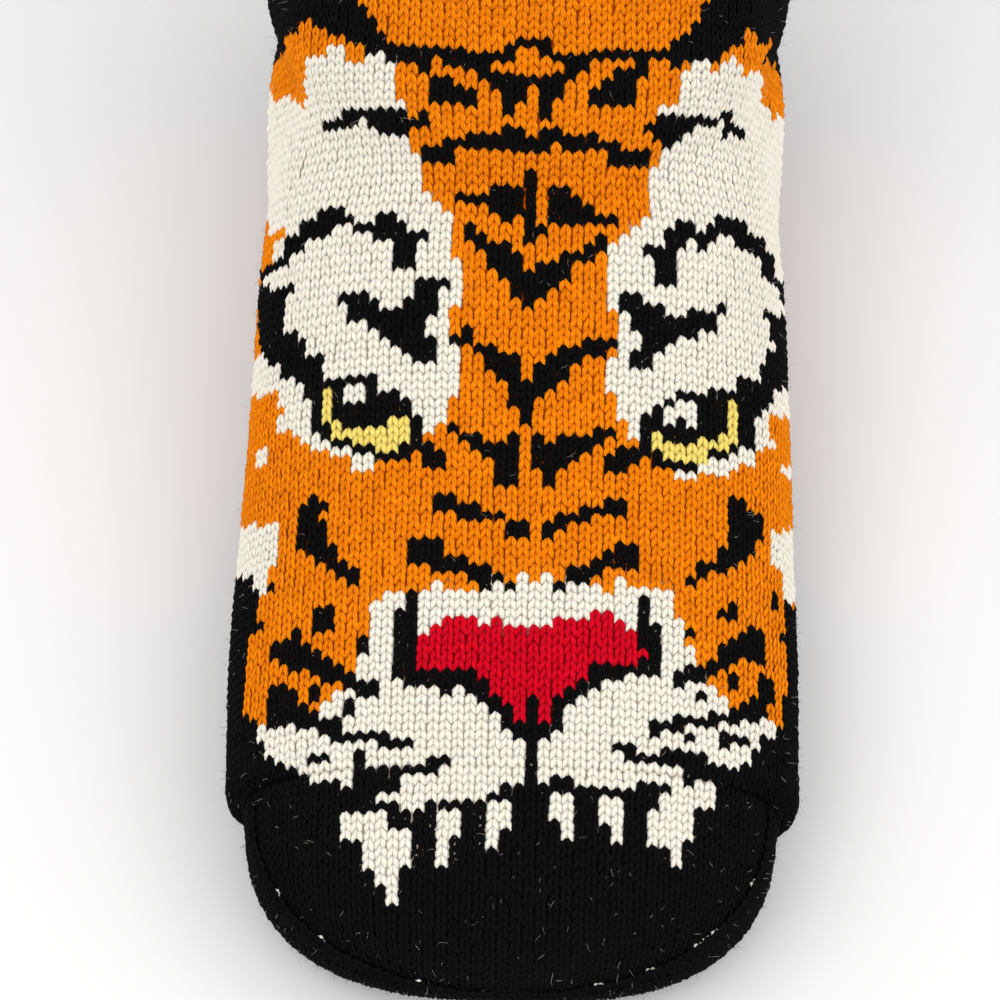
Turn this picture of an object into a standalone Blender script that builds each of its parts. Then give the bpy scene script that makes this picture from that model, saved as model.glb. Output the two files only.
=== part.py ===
"""A knitted slipper sock that fits either foot, standing empty and open on its sole.

The frame is +Z up, with the toe towards -Y and the origin on the floor under the middle of the
sock's length. Sizes are in millimetres, and become metres where the meshes are made.
"""

import math
from collections import namedtuple

import bmesh
import bpy

MM = 0.001

# Driving dimensions, all measured outside the knit
FOOT_LENGTH = 236.0
BALL_WIDTH = 104.0
TOE_WIDTH = 96.0
INSTEP_HEIGHT = 74.0
TOE_LENGTH = 34.0
TOE_TIP_HEIGHT = 17.0
TOE_SPRING_LENGTH = 26.0
KNIT_THICKNESS = 3.0
SOLE_THICKNESS = 4.0
PIECE_GAP = 0.3

# How blunt the toe is: 2 is an ellipse, and more is squarer
TOE_PLAN_ROUND = 2.4
TOE_SIDE_ROUND = 2.2

# The ribbed cuff: pairs of wales, raised and sunk in turn
CUFF_RIBS = 27
COLUMNS_PER_RIB = 4
RIB_RISE = 0.5

# Facets of the knitted wall
RING_COLUMNS = 48
TOE_RINGS = 8
RINGS_PER_SECTION = 2
CUFF_RINGS = 4
TOE_RING_CROWDING = 1.8

# Cutters reach this far outside the sock
CUTTER_REACH = 20.0
CUTTER_HALF_WIDTH = 80.0

# One cross-section of the sock. It stands across the foot, from a point on the sole or the back
# of the leg to a point on the instep or the shin. Distances run from the toe tip, in foot lengths.
# Heights are in instep heights, and widths in ball widths. widest is the share of the way up from
# the base to the widest place. The rounds say how square the top and the base are.
Section = namedtuple(
    "Section",
    "name top_at top_height base_at base_height width widest top_round base_round",
)

SECTIONS = [
    Section("toe line", 0.144, 0.545, 0.144, -0.016, 0.923, 0.42, 2.5, 3.4),
    Section("shoulder", 0.163, 0.560, 0.163, -0.016, 1.000, 0.42, 2.5, 3.5),
    Section("ball", 0.254, 0.620, 0.263, -0.016, 1.000, 0.42, 2.4, 3.6),
    Section("vamp", 0.364, 0.716, 0.390, 0.005, 0.985, 0.42, 2.4, 3.6),
    Section("waist", 0.458, 0.838, 0.525, 0.034, 0.960, 0.42, 2.3, 3.4),
    Section("instep", 0.534, 1.000, 0.678, 0.024, 0.952, 0.43, 2.3, 3.0),
    Section("ankle bend", 0.593, 1.176, 0.814, -0.016, 0.946, 0.46, 2.2, 2.7),
    Section("heel seat", 0.631, 1.350, 0.917, -0.005, 0.944, 0.50, 2.2, 2.8),
    Section("heel corner", 0.661, 1.514, 0.980, 0.160, 0.943, 0.53, 2.2, 2.6),
    Section("heel back", 0.686, 1.676, 1.000, 0.450, 0.942, 0.54, 2.2, 2.4),
    Section("heel top", 0.712, 1.851, 0.990, 0.830, 0.942, 0.52, 2.2, 2.2),
    Section("ankle back", 0.735, 2.027, 0.977, 1.270, 0.942, 0.50, 2.2, 2.1),
    Section("leg", 0.758, 2.203, 0.971, 1.730, 0.942, 0.50, 2.2, 2.1),
    Section("cuff line", 0.778, 2.351, 0.975, 2.135, 0.942, 0.50, 2.2, 2.1),
]
COLLAR = Section("collar", 0.805, 2.649, 0.990, 2.486, 0.943, 0.50, 2.2, 2.1)

# Side views of the places where the knit changes, as points from the toe tip and the floor
SidePoint = namedtuple("SidePoint", "at height")

SOLE_EDGE = [
    SidePoint(-6.0, 14.0),
    SidePoint(4.0, 17.0),
    SidePoint(16.0, 21.5),
    SidePoint(34.0, 24.0),
    SidePoint(55.0, 21.0),
    SidePoint(82.0, 14.0),
    SidePoint(112.0, 10.5),
    SidePoint(165.0, 10.5),
    SidePoint(205.0, 12.0),
    SidePoint(245.0, 13.0),
]
HEEL_GORE_POINT = SidePoint(172.0, 64.0)
HEEL_GORE_FOOT = SidePoint(190.0, 0.0)
HEEL_GORE_BACK = SidePoint(236.0, 76.0)

# Yarn colours as seen, in sRGB from 0 to 255
ORANGE_YARN = (233, 126, 18)
BLACK_YARN = (26, 24, 26)
YARN_ROUGHNESS = 0.9


def linear(level):
    """One sRGB level from 0 to 255 as the linear value that a material takes."""
    share = level / 255
    if share <= 0.04045:
        return share / 12.92
    return ((share + 0.055) / 1.055) ** 2.4


def yarn(name, colour):
    """A matt knitted yarn."""
    material = bpy.data.materials.new(name)
    material.use_nodes = True
    shader = material.node_tree.nodes["Principled BSDF"]
    rgba = [linear(level) for level in colour] + [1.0]
    shader.inputs["Base Color"].default_value = rgba
    shader.inputs["Roughness"].default_value = YARN_ROUGHNESS
    shader.inputs["Metallic"].default_value = 0.0
    material.diffuse_color = rgba
    return material


def eased(values, at):
    """Reads a table column at a fractional row, with no overshoot between the rows."""
    steps = [after - before for before, after in zip(values, values[1:])]
    slopes = [steps[0]]
    for before, after in zip(steps, steps[1:]):
        same_way = before * after > 0
        slopes.append(2 * before * after / (before + after) if same_way else 0.0)
    slopes.append(steps[-1])
    row = min(int(at), len(steps) - 1)
    part = at - row
    start_pull = part * (1 - part) ** 2 * slopes[row]
    end_pull = part**2 * (part - 1) * slopes[row + 1]
    blend = part**2 * (3 - 2 * part)
    return values[row] + blend * steps[row] + start_pull + end_pull


def rounding(share, power):
    """How far a blunt end has opened out, from 0 at its tip to 1 where it is full."""
    return (1 - (1 - min(share, 1.0)) ** power) ** (1 / power)


def section_between(sections, at):
    """The section at a fractional row of a table."""
    columns = list(zip(*sections))[1:]
    return Section("between", *[eased(column, at) for column in columns])


def toe_section(share):
    """A section of the toe pocket, at a share of its length from the tip."""
    line = SECTIONS[0]
    tip = TOE_TIP_HEIGHT / INSTEP_HEIGHT
    at = share * line.top_at
    plan = rounding(share, TOE_PLAN_ROUND)
    side = rounding(share, TOE_SIDE_ROUND)
    spring = rounding(at * FOOT_LENGTH / TOE_SPRING_LENGTH, TOE_SIDE_ROUND)
    return line._replace(
        top_at=at,
        base_at=at,
        top_height=tip + (line.top_height - tip) * side,
        base_height=tip + (line.base_height - tip) * spring,
        width=TOE_WIDTH / BALL_WIDTH * plan,
    )


def along_and_up(section, share):
    """A point on a section's middle line, from its base at share 0 to its top at share 1."""
    at = section.base_at + (section.top_at - section.base_at) * share
    up = section.base_height + (section.top_height - section.base_height) * share
    return at * FOOT_LENGTH, up * INSTEP_HEIGHT


def frame_point(across, at, up):
    """A point in the sock's own frame, in metres."""
    return (across * MM, (at - FOOT_LENGTH / 2) * MM, up * MM)


def ring(section, columns, rise=None):
    """The points round a section, from the top over +X to the base and back.

    rise(column) is how far a column stands out of the section. The floor flattens the base.
    """
    points = []
    half_width = section.width * BALL_WIDTH / 2
    for column in range(columns):
        turn = 2 * math.pi * column / columns
        upper_half = math.cos(turn) >= 0
        power = 2 / (section.top_round if upper_half else section.base_round)
        span = 1 - section.widest if upper_half else section.widest
        height = abs(math.cos(turn)) ** power * span
        share = section.widest + (height if upper_half else -height)
        across = math.copysign(abs(math.sin(turn)) ** power, math.sin(turn)) * half_width
        at, up = along_and_up(section, share)
        if rise:
            middle_at, middle_up = along_and_up(section, section.widest)
            reach = math.hypot(across, at - middle_at, up - middle_up)
            swell = 1 + rise(column) / reach
            across *= swell
            at = middle_at + (at - middle_at) * swell
            up = middle_up + (up - middle_up) * swell
        points.append(frame_point(across, at, max(up, 0.0)))
    return points


def skin(name, rings, tip=None):
    """An open surface through rings of points, closed at the tip where there is one."""
    work = bmesh.new()
    loops = [[work.verts.new(point) for point in points] for points in rings]
    for near, far in zip(loops, loops[1:]):
        for column in range(len(near)):
            after = (column + 1) % len(near)
            work.faces.new((near[column], near[after], far[after], far[column]))
    if tip:
        pole = work.verts.new(tip)
        first = loops[0]
        for column in range(len(first)):
            work.faces.new((first[(column + 1) % len(first)], first[column], pole))
    bmesh.ops.recalc_face_normals(work, faces=work.faces)
    mesh = bpy.data.meshes.new(name)
    work.to_mesh(mesh)
    work.free()
    return mesh


def foot_and_leg_skin():
    """The sock's outer surface, from the toe tip to the cuff."""
    rings = []
    for step in range(1, TOE_RINGS):
        share = (step / TOE_RINGS) ** TOE_RING_CROWDING
        rings.append(ring(toe_section(share), RING_COLUMNS))
    last_row = len(SECTIONS) - 1
    for step in range(last_row * RINGS_PER_SECTION + 1):
        section = section_between(SECTIONS, step / RINGS_PER_SECTION)
        rings.append(ring(section, RING_COLUMNS))
    return skin("knit_skin", rings, frame_point(0.0, 0.0, TOE_TIP_HEIGHT))


def rib_rise(column):
    """Two raised columns, then two sunk ones."""
    return RIB_RISE if column % COLUMNS_PER_RIB < COLUMNS_PER_RIB / 2 else -RIB_RISE


def cuff_skin():
    """The ribbed band from the top of the leg to the collar."""
    edge = SECTIONS[-1]
    leg_length = (COLLAR.top_height - edge.top_height) * INSTEP_HEIGHT
    start = PIECE_GAP / leg_length
    rings = []
    for step in range(CUFF_RINGS):
        at = start + (1 - start) * step / (CUFF_RINGS - 1)
        section = section_between([edge, COLLAR], at)
        rings.append(ring(section, CUFF_RIBS * COLUMNS_PER_RIB, rib_rise))
    return skin("cuff_skin", rings)


def prism(name, side_points):
    """A hidden cutter: a side view, drawn out across the whole width of the sock."""
    work = bmesh.new()
    corners = [
        work.verts.new(frame_point(-CUTTER_HALF_WIDTH, point.at, point.height))
        for point in side_points
    ]
    face = work.faces.new(corners)
    drawn = bmesh.ops.extrude_face_region(work, geom=[face])["geom"]
    moved = [part for part in drawn if isinstance(part, bmesh.types.BMVert)]
    bmesh.ops.translate(work, verts=moved, vec=(2 * CUTTER_HALF_WIDTH * MM, 0, 0))
    bmesh.ops.recalc_face_normals(work, faces=work.faces)
    mesh = bpy.data.meshes.new(name)
    work.to_mesh(mesh)
    work.free()
    cutter = bpy.data.objects.new(name, mesh)
    bpy.context.scene.collection.objects.link(cutter)
    cutter.hide_render = True
    cutter.display_type = "WIRE"
    return cutter


def toe_zone(grow):
    """Everything in front of the toe line, grown or shrunk by half the gap between pieces."""
    line = TOE_LENGTH + grow
    return prism(
        "toe_zone",
        [
            SidePoint(-CUTTER_REACH, -CUTTER_REACH),
            SidePoint(line, -CUTTER_REACH),
            SidePoint(line, INSTEP_HEIGHT),
            SidePoint(-CUTTER_REACH, INSTEP_HEIGHT),
        ],
    )


def sole_zone(grow):
    """Everything under the edge of the sole."""
    edge = [SidePoint(point.at, point.height + grow) for point in SOLE_EDGE]
    below = [
        SidePoint(SOLE_EDGE[-1].at, -CUTTER_REACH),
        SidePoint(SOLE_EDGE[0].at, -CUTTER_REACH),
    ]
    return prism("sole_zone", edge + below)


def heel_zone(grow):
    """The wedge of the heel pocket, from its gore point down to the sole and back to the leg."""
    behind = FOOT_LENGTH + CUTTER_REACH
    slope = (HEEL_GORE_BACK.height - HEEL_GORE_POINT.height) / (
        HEEL_GORE_BACK.at - HEEL_GORE_POINT.at
    )
    back_height = HEEL_GORE_POINT.height + slope * (behind - HEEL_GORE_POINT.at)
    return prism(
        "heel_zone",
        [
            SidePoint(HEEL_GORE_POINT.at - grow, HEEL_GORE_POINT.height + grow),
            SidePoint(HEEL_GORE_FOOT.at - grow, HEEL_GORE_FOOT.height),
            SidePoint(HEEL_GORE_FOOT.at - grow, -CUTTER_REACH),
            SidePoint(behind, -CUTTER_REACH),
            SidePoint(behind, back_height + grow),
        ],
    )


def knitted_piece(name, mesh, material, thickness, kept=None, removed=()):
    """A wall of knit: a surface with a thickness inwards, cut to its own part of the sock."""
    piece = bpy.data.objects.new(name, mesh.copy())
    bpy.context.scene.collection.objects.link(piece)
    piece.data.name = name
    piece.data.materials.append(material)
    piece.data.shade_smooth()
    wall = piece.modifiers.new("wall", "SOLIDIFY")
    wall.thickness = thickness * MM
    wall.offset = -1.0
    wall.use_even_offset = True
    cuts = [("INTERSECT", kept)] if kept else []
    cuts += [("DIFFERENCE", zone) for zone in removed]
    for operation, zone in cuts:
        cut = piece.modifiers.new(f"{operation.lower()} {zone.name}", "BOOLEAN")
        cut.operation = operation
        cut.solver = "EXACT"
        cut.use_self = True
        cut.object = zone
    return piece


def main():
    for thing in list(bpy.data.objects):
        bpy.data.objects.remove(thing)
    orange = yarn("orange_yarn", ORANGE_YARN)
    black = yarn("black_yarn", BLACK_YARN)
    body = foot_and_leg_skin()
    half_gap = PIECE_GAP / 2
    inside = {zone: zone(-half_gap) for zone in (toe_zone, sole_zone, heel_zone)}
    outside = {zone: zone(half_gap) for zone in (toe_zone, sole_zone, heel_zone)}
    knitted_piece("upper", body, orange, KNIT_THICKNESS, removed=outside.values())
    knitted_piece("sole", body, black, SOLE_THICKNESS, inside[sole_zone])
    knitted_piece(
        "toe_pocket", body, black, KNIT_THICKNESS, inside[toe_zone], [outside[sole_zone]]
    )
    knitted_piece(
        "heel_pocket", body, black, KNIT_THICKNESS, inside[heel_zone], [outside[sole_zone]]
    )
    knitted_piece("cuff", cuff_skin(), orange, KNIT_THICKNESS)


main()
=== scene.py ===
import math

import bpy
import numpy as np
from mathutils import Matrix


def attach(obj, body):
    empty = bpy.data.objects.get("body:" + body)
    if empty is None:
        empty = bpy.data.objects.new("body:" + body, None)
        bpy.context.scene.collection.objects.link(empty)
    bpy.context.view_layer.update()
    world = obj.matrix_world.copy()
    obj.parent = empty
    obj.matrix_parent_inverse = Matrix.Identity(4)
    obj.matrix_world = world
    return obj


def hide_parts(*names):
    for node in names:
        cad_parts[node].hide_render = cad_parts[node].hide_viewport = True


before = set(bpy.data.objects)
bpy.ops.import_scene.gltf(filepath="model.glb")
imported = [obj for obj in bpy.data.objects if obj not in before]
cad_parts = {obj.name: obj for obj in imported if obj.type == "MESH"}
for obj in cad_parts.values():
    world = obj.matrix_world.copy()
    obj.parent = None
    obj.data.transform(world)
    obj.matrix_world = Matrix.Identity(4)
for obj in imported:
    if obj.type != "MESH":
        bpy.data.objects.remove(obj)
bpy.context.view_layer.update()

# Sizes are in millimetres until a mesh is made. The toe points to -Y and the floor is Z = 0.
MM = 0.001
chance = np.random.default_rng(7)

# The sock's own sizes, as in its solids
FOOT_LENGTH = 236.0
BALL_WIDTH = 104.0
TOE_WIDTH = 96.0
INSTEP_HEIGHT = 74.0
TOE_LENGTH = 34.0
TOE_TIP_HEIGHT = 17.0
TOE_SPRING_LENGTH = 26.0
TOE_PLAN_ROUND = 2.4
TOE_SIDE_ROUND = 2.2

# Cross-sections from the toe line to the cuff line, then the collar. Columns: how far along and up
# the top is, how far along and up the base is, width, share up to the widest place, and how square
# the top and the base are.
SECTIONS = np.array([
    (0.144, 0.545, 0.144, -0.016, 0.923, 0.42, 2.5, 3.4),
    (0.163, 0.560, 0.163, -0.016, 1.000, 0.42, 2.5, 3.5),
    (0.254, 0.620, 0.263, -0.016, 1.000, 0.42, 2.4, 3.6),
    (0.364, 0.716, 0.390, 0.005, 0.985, 0.42, 2.4, 3.6),
    (0.458, 0.838, 0.525, 0.034, 0.960, 0.42, 2.3, 3.4),
    (0.534, 1.000, 0.678, 0.024, 0.952, 0.43, 2.3, 3.0),
    (0.593, 1.176, 0.814, -0.016, 0.946, 0.46, 2.2, 2.7),
    (0.631, 1.350, 0.917, -0.005, 0.944, 0.50, 2.2, 2.8),
    (0.661, 1.514, 0.980, 0.160, 0.943, 0.53, 2.2, 2.6),
    (0.686, 1.676, 1.000, 0.450, 0.942, 0.54, 2.2, 2.4),
    (0.712, 1.851, 0.990, 0.830, 0.942, 0.52, 2.2, 2.2),
    (0.735, 2.027, 0.977, 1.270, 0.942, 0.50, 2.2, 2.1),
    (0.758, 2.203, 0.971, 1.730, 0.942, 0.50, 2.2, 2.1),
    (0.778, 2.351, 0.975, 2.135, 0.942, 0.50, 2.2, 2.1),
])
COLLAR = (0.805, 2.649, 0.990, 2.486, 0.943, 0.50, 2.2, 2.1)
WAIST_ROW = 4
CUFF_ROW = len(SECTIONS) - 1

# Side views of where the knit changes: distance from the toe tip, and height
SOLE_EDGE_AT = (-6, 4, 16, 34, 55, 82, 112, 165, 205, 245)
SOLE_EDGE_UP = (14, 17, 21.5, 24, 21, 14, 10.5, 10.5, 12, 13)
GORE_POINT = (172.0, 64.0)
GORE_FOOT = (190.0, 0.0)
GORE_BACK = (236.0, 76.0)

# The knit
HALF_WALES = 60
WALE = 2.18
COURSE = 1.66
HEEL_COURSE = 2.1
EVEN_WALES = 10
FOOT_COURSES = 49
CUFF_RIBS = 27
WALES_PER_RIB = 4
CUFF_COURSES = 13
RIB_RISE = 0.55
STITCH_DEPTH = 0.55
WALL_DEPTH = 0.9
WALL_THICKNESS = 1.5
CUFF_THICKNESS = 1.8
WALL_RIB = 0.3
FLOOR_GAP = 0.03

# The collar: how far up the wall ends, and how far in, ribbed and up the chain on it is
COLLAR_REACH = 1.015
CHAIN_INSET = 1.0
CHAIN_RIB = 0.6
CHAIN_RISE = 0.4

# The seam round the toe: how far it is turned down from the top, its stitches and its pale flecks
SEAM_TURN = 1.25
SEAM_WIDTH = 1.7
SEAM_COURSE = 1.9
SEAM_RISE = 0.35
SEAM_ENDS = (0.99, 0.06)
SEAM_STEPS = 120
SEAM_SLIVER = 0.05
FLECK_SHARE = 0.16
FLECK_SIZE = (0.7, 0.6, 0.6)

# One leg of a stitch, in wales across, courses along and millimetres out
LEG_WIDTH = 0.56
LEG_LENGTH = 1.75
LEG_THICKNESS = 0.92
LEG_TOP_AT = 0.09
LEG_FOOT_AT = 0.38
LEG_DIP = 0.40
LEG_TIP = 0.78
LEG_MIDDLE = 0.1
LEG_LEVEL = 0.02

# Sides, levels and plumpness of a leg: it has fewer faces where the knit turns away from the face
LEG_KINDS = {"front": (4, 4, 1.0), "side": (3, 4, 1.15), "back": (3, 3, 1.5)}
FULLNESS = {"orange": 1.05, "black": 1.0, "white": 1.2, "red": 1.0, "yellow": 1.1}

# How far stitches stray: across, along and out, in their width and in their lean
SWAY = (0.035, 0.05, 0.06, 0.06, 0.05)

# Loose fibres: how many of each yarn, how many pale ones on the black, and their sizes
FUZZ_COUNTS = {"orange": 1800, "black": 3200, "white": 1200, "red": 200}
LINT_COUNT = 420
FIBRE_WIDTH = 0.045
FIBRE_SHORTEST = 0.5
FIBRE_LENGTHS = (4, 0.3)
FIBRE_SPREAD = 0.3
FIBRE_ROOT = 0.35
FIBRE_LEAN = (0.8, 0.5)

# Soft creases in the slack knit: the depth, place and width of each, and where they fade out
CREASE_SLANT = 0.55
BEND = (-3.2, 147, 8)
ROLL = (1.3, 166, 9)
DRAG = (-1.1, 150, 9)
DRAG_HEIGHT = 40
CREASE_FOOT = 6
CREASE_FADE = 14

# How finely the surface and its meshes are worked out
RING_STEPS = 241
ROW_STEP = 0.05
TOE_STEPS = 160
TOE_END = 0.03
NEARBY = 0.6
TOE_WALL_ROWS = 20
TOE_WALL_CROWDING = 1.8
WALL_ROW_STEP = 0.125
CUFF_WALL_ROWS = 7
SHORT_RING = 110.0
JOIN_DISTANCE = 0.02
TILE_EDGE = 0.05

# Yarn colours in sRGB levels, as lit on the plies and as painted shade deep between them
YARNS = {
    "orange": (255, 147, 8),
    "black": (12, 11, 12),
    "white": (234, 227, 212),
    "red": (228, 5, 38),
    "yellow": (245, 222, 121),
}
# The darker colours are painted shade: in the grooves between the plies and on the ground between the
# stitches
SHADED_YARNS = {
    "orange": (190, 76, 0),
    "black": (4, 4, 5),
    "white": (228, 217, 200),
    "red": (168, 0, 18),
    "yellow": (218, 183, 80),
}
YARN_ORDER = list(YARNS)

# How much light soaks through each wool and how far, how much its fuzz catches, and how deep its
# plies are
SOAK = {"orange": 0.0, "black": 0.0, "white": 0.5, "red": 0.0, "yellow": 0.4}
SOAK_DEPTH = 1.1
HALO = {"orange": 0.25, "black": 0.0, "white": 0.08, "red": 0.2, "yellow": 0.1}
PLY_DEPTH = {"orange": 0.9, "black": 0.9, "white": 0.4, "red": 0.9, "yellow": 0.6}

# Plies round a leg and along it, the scales of the noises, and how high each relief is
PLY_TURNS = 4.0
PLY_CLIMB = 1.4
FIBRE_SCALE = 1900.0
SHADE_SCALE = 120.0
GROUND_SCALE = 900.0
CURL_SCALE = 420.0
CLUMP_SCALE = 260.0
PAPER_SCALE = 3.0
PLY_HEIGHT = 0.3
GROUND_HEIGHT = 0.4
LINING_HEIGHT = 1.2

# The darkest share of the ground's colour and its range, as painted shade between the stitches, the fleece
# in sRGB levels, and the paper
GROUND_SHADE_DARKEST = 0.48
GROUND_SHADE_RANGE = 0.5
FLEECE = ((196, 186, 170), (240, 234, 222))
PAPER = ([0.74, 0.74, 0.74, 1.0], [0.78, 0.78, 0.78, 1.0])

# The face is drawn square to this view: degrees above the floor, and millimetres away
FACE_TILT = 62.0
FACE_DISTANCE = 800.0
FACE_CENTRE = (-45.0, 50.0)
FACE_CENTRE_COURSE = 29.95
FACE_COURSE = 1.62
FACE_DRIFT = 1.66
FACE_UNDRIFT = 0.0162
FACE_ROLL = 0.029
FACE_TOP = 97.0

# The knit's zones by how far it turns to that view, and the height of the underside
SIDE_FACING = 0.1
BACK_FACING = -0.2
UNDERSIDE = 3

# The picture: aim to the side and up from the face's centre, lens and roll
CAMERA_AIM = (-3.2, 7.3)
CAMERA_SENSOR = 36.0
CAMERA_LENS = 162.6
CAMERA_ROLL = 1.25

# The studio in metres: place, size and power of each light, and the floor
LIGHTS = {
    "key_light": ((-0.7, -0.5, 1.5), 1.1, 8.5),
    "fill_light": ((0.9, -0.4, 1.3), 1.3, 7),
}
LIGHT_AIM = (0, -0.03, 0.05)
SKY_STRENGTH = 0.98
FLOOR_SIZE = 6


def linear(levels):
    """An sRGB colour as the linear one that a material takes."""
    share = np.array(levels) / 255
    value = np.where(share <= 0.04045, share / 12.92, ((share + 0.055) / 1.055) ** 2.4)
    return [float(part) for part in value] + [1.0]


# The sock's surface

def eased(column, at):
    """Reads a table column at fractional rows, with no overshoot between the rows."""
    steps = np.diff(column)
    product = steps[:-1] * steps[1:]
    total = np.where(product > 0, steps[:-1] + steps[1:], 1.0)
    inner = np.where(product > 0, 2 * product / total, 0.0)
    slopes = np.concatenate([steps[:1], inner, steps[-1:]])
    row = np.minimum(at.astype(int), len(steps) - 1)
    part = at - row
    start_pull = part * (1 - part) ** 2 * slopes[row]
    end_pull = part**2 * (part - 1) * slopes[row + 1]
    return column[row] + part**2 * (3 - 2 * part) * steps[row] + start_pull + end_pull


def rounding(share, power):
    """How far a blunt end has opened out, from 0 at its tip to 1 where it is full."""
    return (1 - (1 - np.minimum(share, 1.0)) ** power) ** (1 / power)


def body_sections(at):
    """Sections at fractional rows of the table."""
    return np.stack([eased(column, at) for column in SECTIONS.T], axis=1)


def toe_sections(share):
    """Sections of the toe pocket, at shares of its length from the tip."""
    rows = np.repeat(SECTIONS[:1], len(share), axis=0)
    tip = TOE_TIP_HEIGHT / INSTEP_HEIGHT
    at = share * SECTIONS[0, 0]
    spring = rounding(at * FOOT_LENGTH / TOE_SPRING_LENGTH, TOE_SIDE_ROUND)
    rows[:, 0] = at
    rows[:, 1] = tip + (SECTIONS[0, 1] - tip) * rounding(share, TOE_SIDE_ROUND)
    rows[:, 2] = at
    rows[:, 3] = tip + (SECTIONS[0, 3] - tip) * spring
    rows[:, 4] = TOE_WIDTH / BALL_WIDTH * rounding(share, TOE_PLAN_ROUND)
    return rows


def cuff_sections(share):
    """Sections of the ribbed band, from the cuff line at 0 to the collar at 1."""
    share = np.asarray(share)[:, None]
    return SECTIONS[-1] * (1 - share) + np.array(COLLAR) * share


def half_rings(sections, turns=None):
    """The +X half of each section, from the middle of its top to the middle of its base."""
    columns = [column[:, None] for column in sections.T]
    top_at, top_up, base_at, base_up, width, widest, top_round, base_round = columns
    if turns is None:
        turns = np.linspace(0, math.pi, RING_STEPS)
    turn = turns[None]
    upper = np.cos(turn) >= 0
    power = 2 / np.where(upper, top_round, base_round)
    span = np.where(upper, 1 - widest, -widest)
    share = widest + np.abs(np.cos(turn)) ** power * span
    across = np.sign(np.sin(turn)) * np.abs(np.sin(turn)) ** power * width * BALL_WIDTH / 2
    at = (base_at + (top_at - base_at) * share) * FOOT_LENGTH
    up = (base_up + (top_up - base_up) * share) * INSTEP_HEIGHT
    return np.stack([across, at - FOOT_LENGTH / 2, np.maximum(up, 0.0)], axis=2)


def run_lengths(points):
    """How far along a line of points each one is."""
    steps = np.linalg.norm(np.diff(points, axis=0), axis=1)
    return np.concatenate([[0.0], np.cumsum(steps)])


def points_at(points, lengths, wanted):
    """The points of a line at wanted distances along it."""
    return np.stack([np.interp(wanted, lengths, points[:, axis]) for axis in range(3)], axis=1)


def wale_distances(half_round, places):
    """How far round from the top middle each wale is: even in front, and stretched behind."""
    spare = half_round - WALE * HALF_WALES
    behind = np.maximum(places - EVEN_WALES, 0) / (HALF_WALES - EVEN_WALES)
    return WALE * places + spare * behind**2


def waled_half(rings, places):
    """Half rings, read again at the places of the wales."""
    rows = []
    for ring in rings:
        lengths = run_lengths(ring)
        rows.append(points_at(ring, lengths, wale_distances(lengths[-1], places)))
    return np.array(rows)


def whole_rings(half, shared):
    """Both halves of rings, from the base on the -X side over the top. shared: ends are mid lines."""
    mirrored = half[:, ::-1] * np.array([-1, 1, 1])
    return np.concatenate([mirrored[:, :-1] if shared else mirrored, half], axis=1)


def unit(vectors):
    """Vectors of length 1."""
    return vectors / np.maximum(np.linalg.norm(vectors, axis=-1, keepdims=True), 1e-9)


def outward(grid, closed):
    """Normals of a grid of rings."""
    if closed:
        across = np.roll(grid, -1, axis=1) - np.roll(grid, 1, axis=1)
    else:
        across = np.gradient(grid, axis=1)
        ends = grid[:, 1] - grid[:, -2]
        across[:, 0] = ends
        across[:, -1] = ends
    return unit(np.cross(across, np.gradient(grid, axis=0)))


def ridge(places, depth, at, width):
    """A soft ridge at one of the places, or a trough where its depth is below 0."""
    return depth * np.exp(-((places - at) / width) ** 2)


def creases(points):
    """How far the slack knit stands in or out. The drag is at the sides, where the others fade."""
    across, along, up = points[..., 0], points[..., 1] + FOOT_LENGTH / 2, points[..., 2]
    side = np.abs(across) / (BALL_WIDTH / 2)
    slope = along * CREASE_SLANT + up
    bend = ridge(slope, *BEND) * (1 - 0.3 * side)
    roll = ridge(slope, *ROLL) * (1 - 0.5 * side)
    drag = ridge(along - CREASE_SLANT * (up - DRAG_HEIGHT), *DRAG) * np.clip(side * 1.6 - 0.6, 0, 1)
    waves = 0.35 * np.sin(across / 13 + along / 21 + 0.7) * np.sin(up / 17 + along / 29)
    waves += 0.22 * np.sin(across / 7.5 - along / 11 + 1.9) * np.sin(up / 9 + 0.4)
    return (bend + roll + drag + waves) * np.clip((up - CREASE_FOOT) / CREASE_FADE, 0, 1)


def node_of(points):
    """The solid that each point of the surface belongs to."""
    at = points[..., 1] + FOOT_LENGTH / 2
    up = points[..., 2]
    gore_front = GORE_FOOT[0] + (GORE_POINT[0] - GORE_FOOT[0]) * up / GORE_POINT[1]
    rise = (GORE_BACK[1] - GORE_POINT[1]) / (GORE_BACK[0] - GORE_POINT[0])
    gore_top = GORE_POINT[1] + rise * (at - GORE_POINT[0])
    node = np.full(at.shape, "upper", dtype="<U12")
    node[(at > gore_front) & (up < gore_top)] = "heel_pocket"
    node[at < TOE_LENGTH] = "toe_pocket"
    node[up < np.interp(at, SOLE_EDGE_AT, SOLE_EDGE_UP)] = "sole"
    return node


# The face as a knitter's chart: each shape in wales from the middle line and courses from the toe
# line. Later shapes lie over earlier ones.

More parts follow.
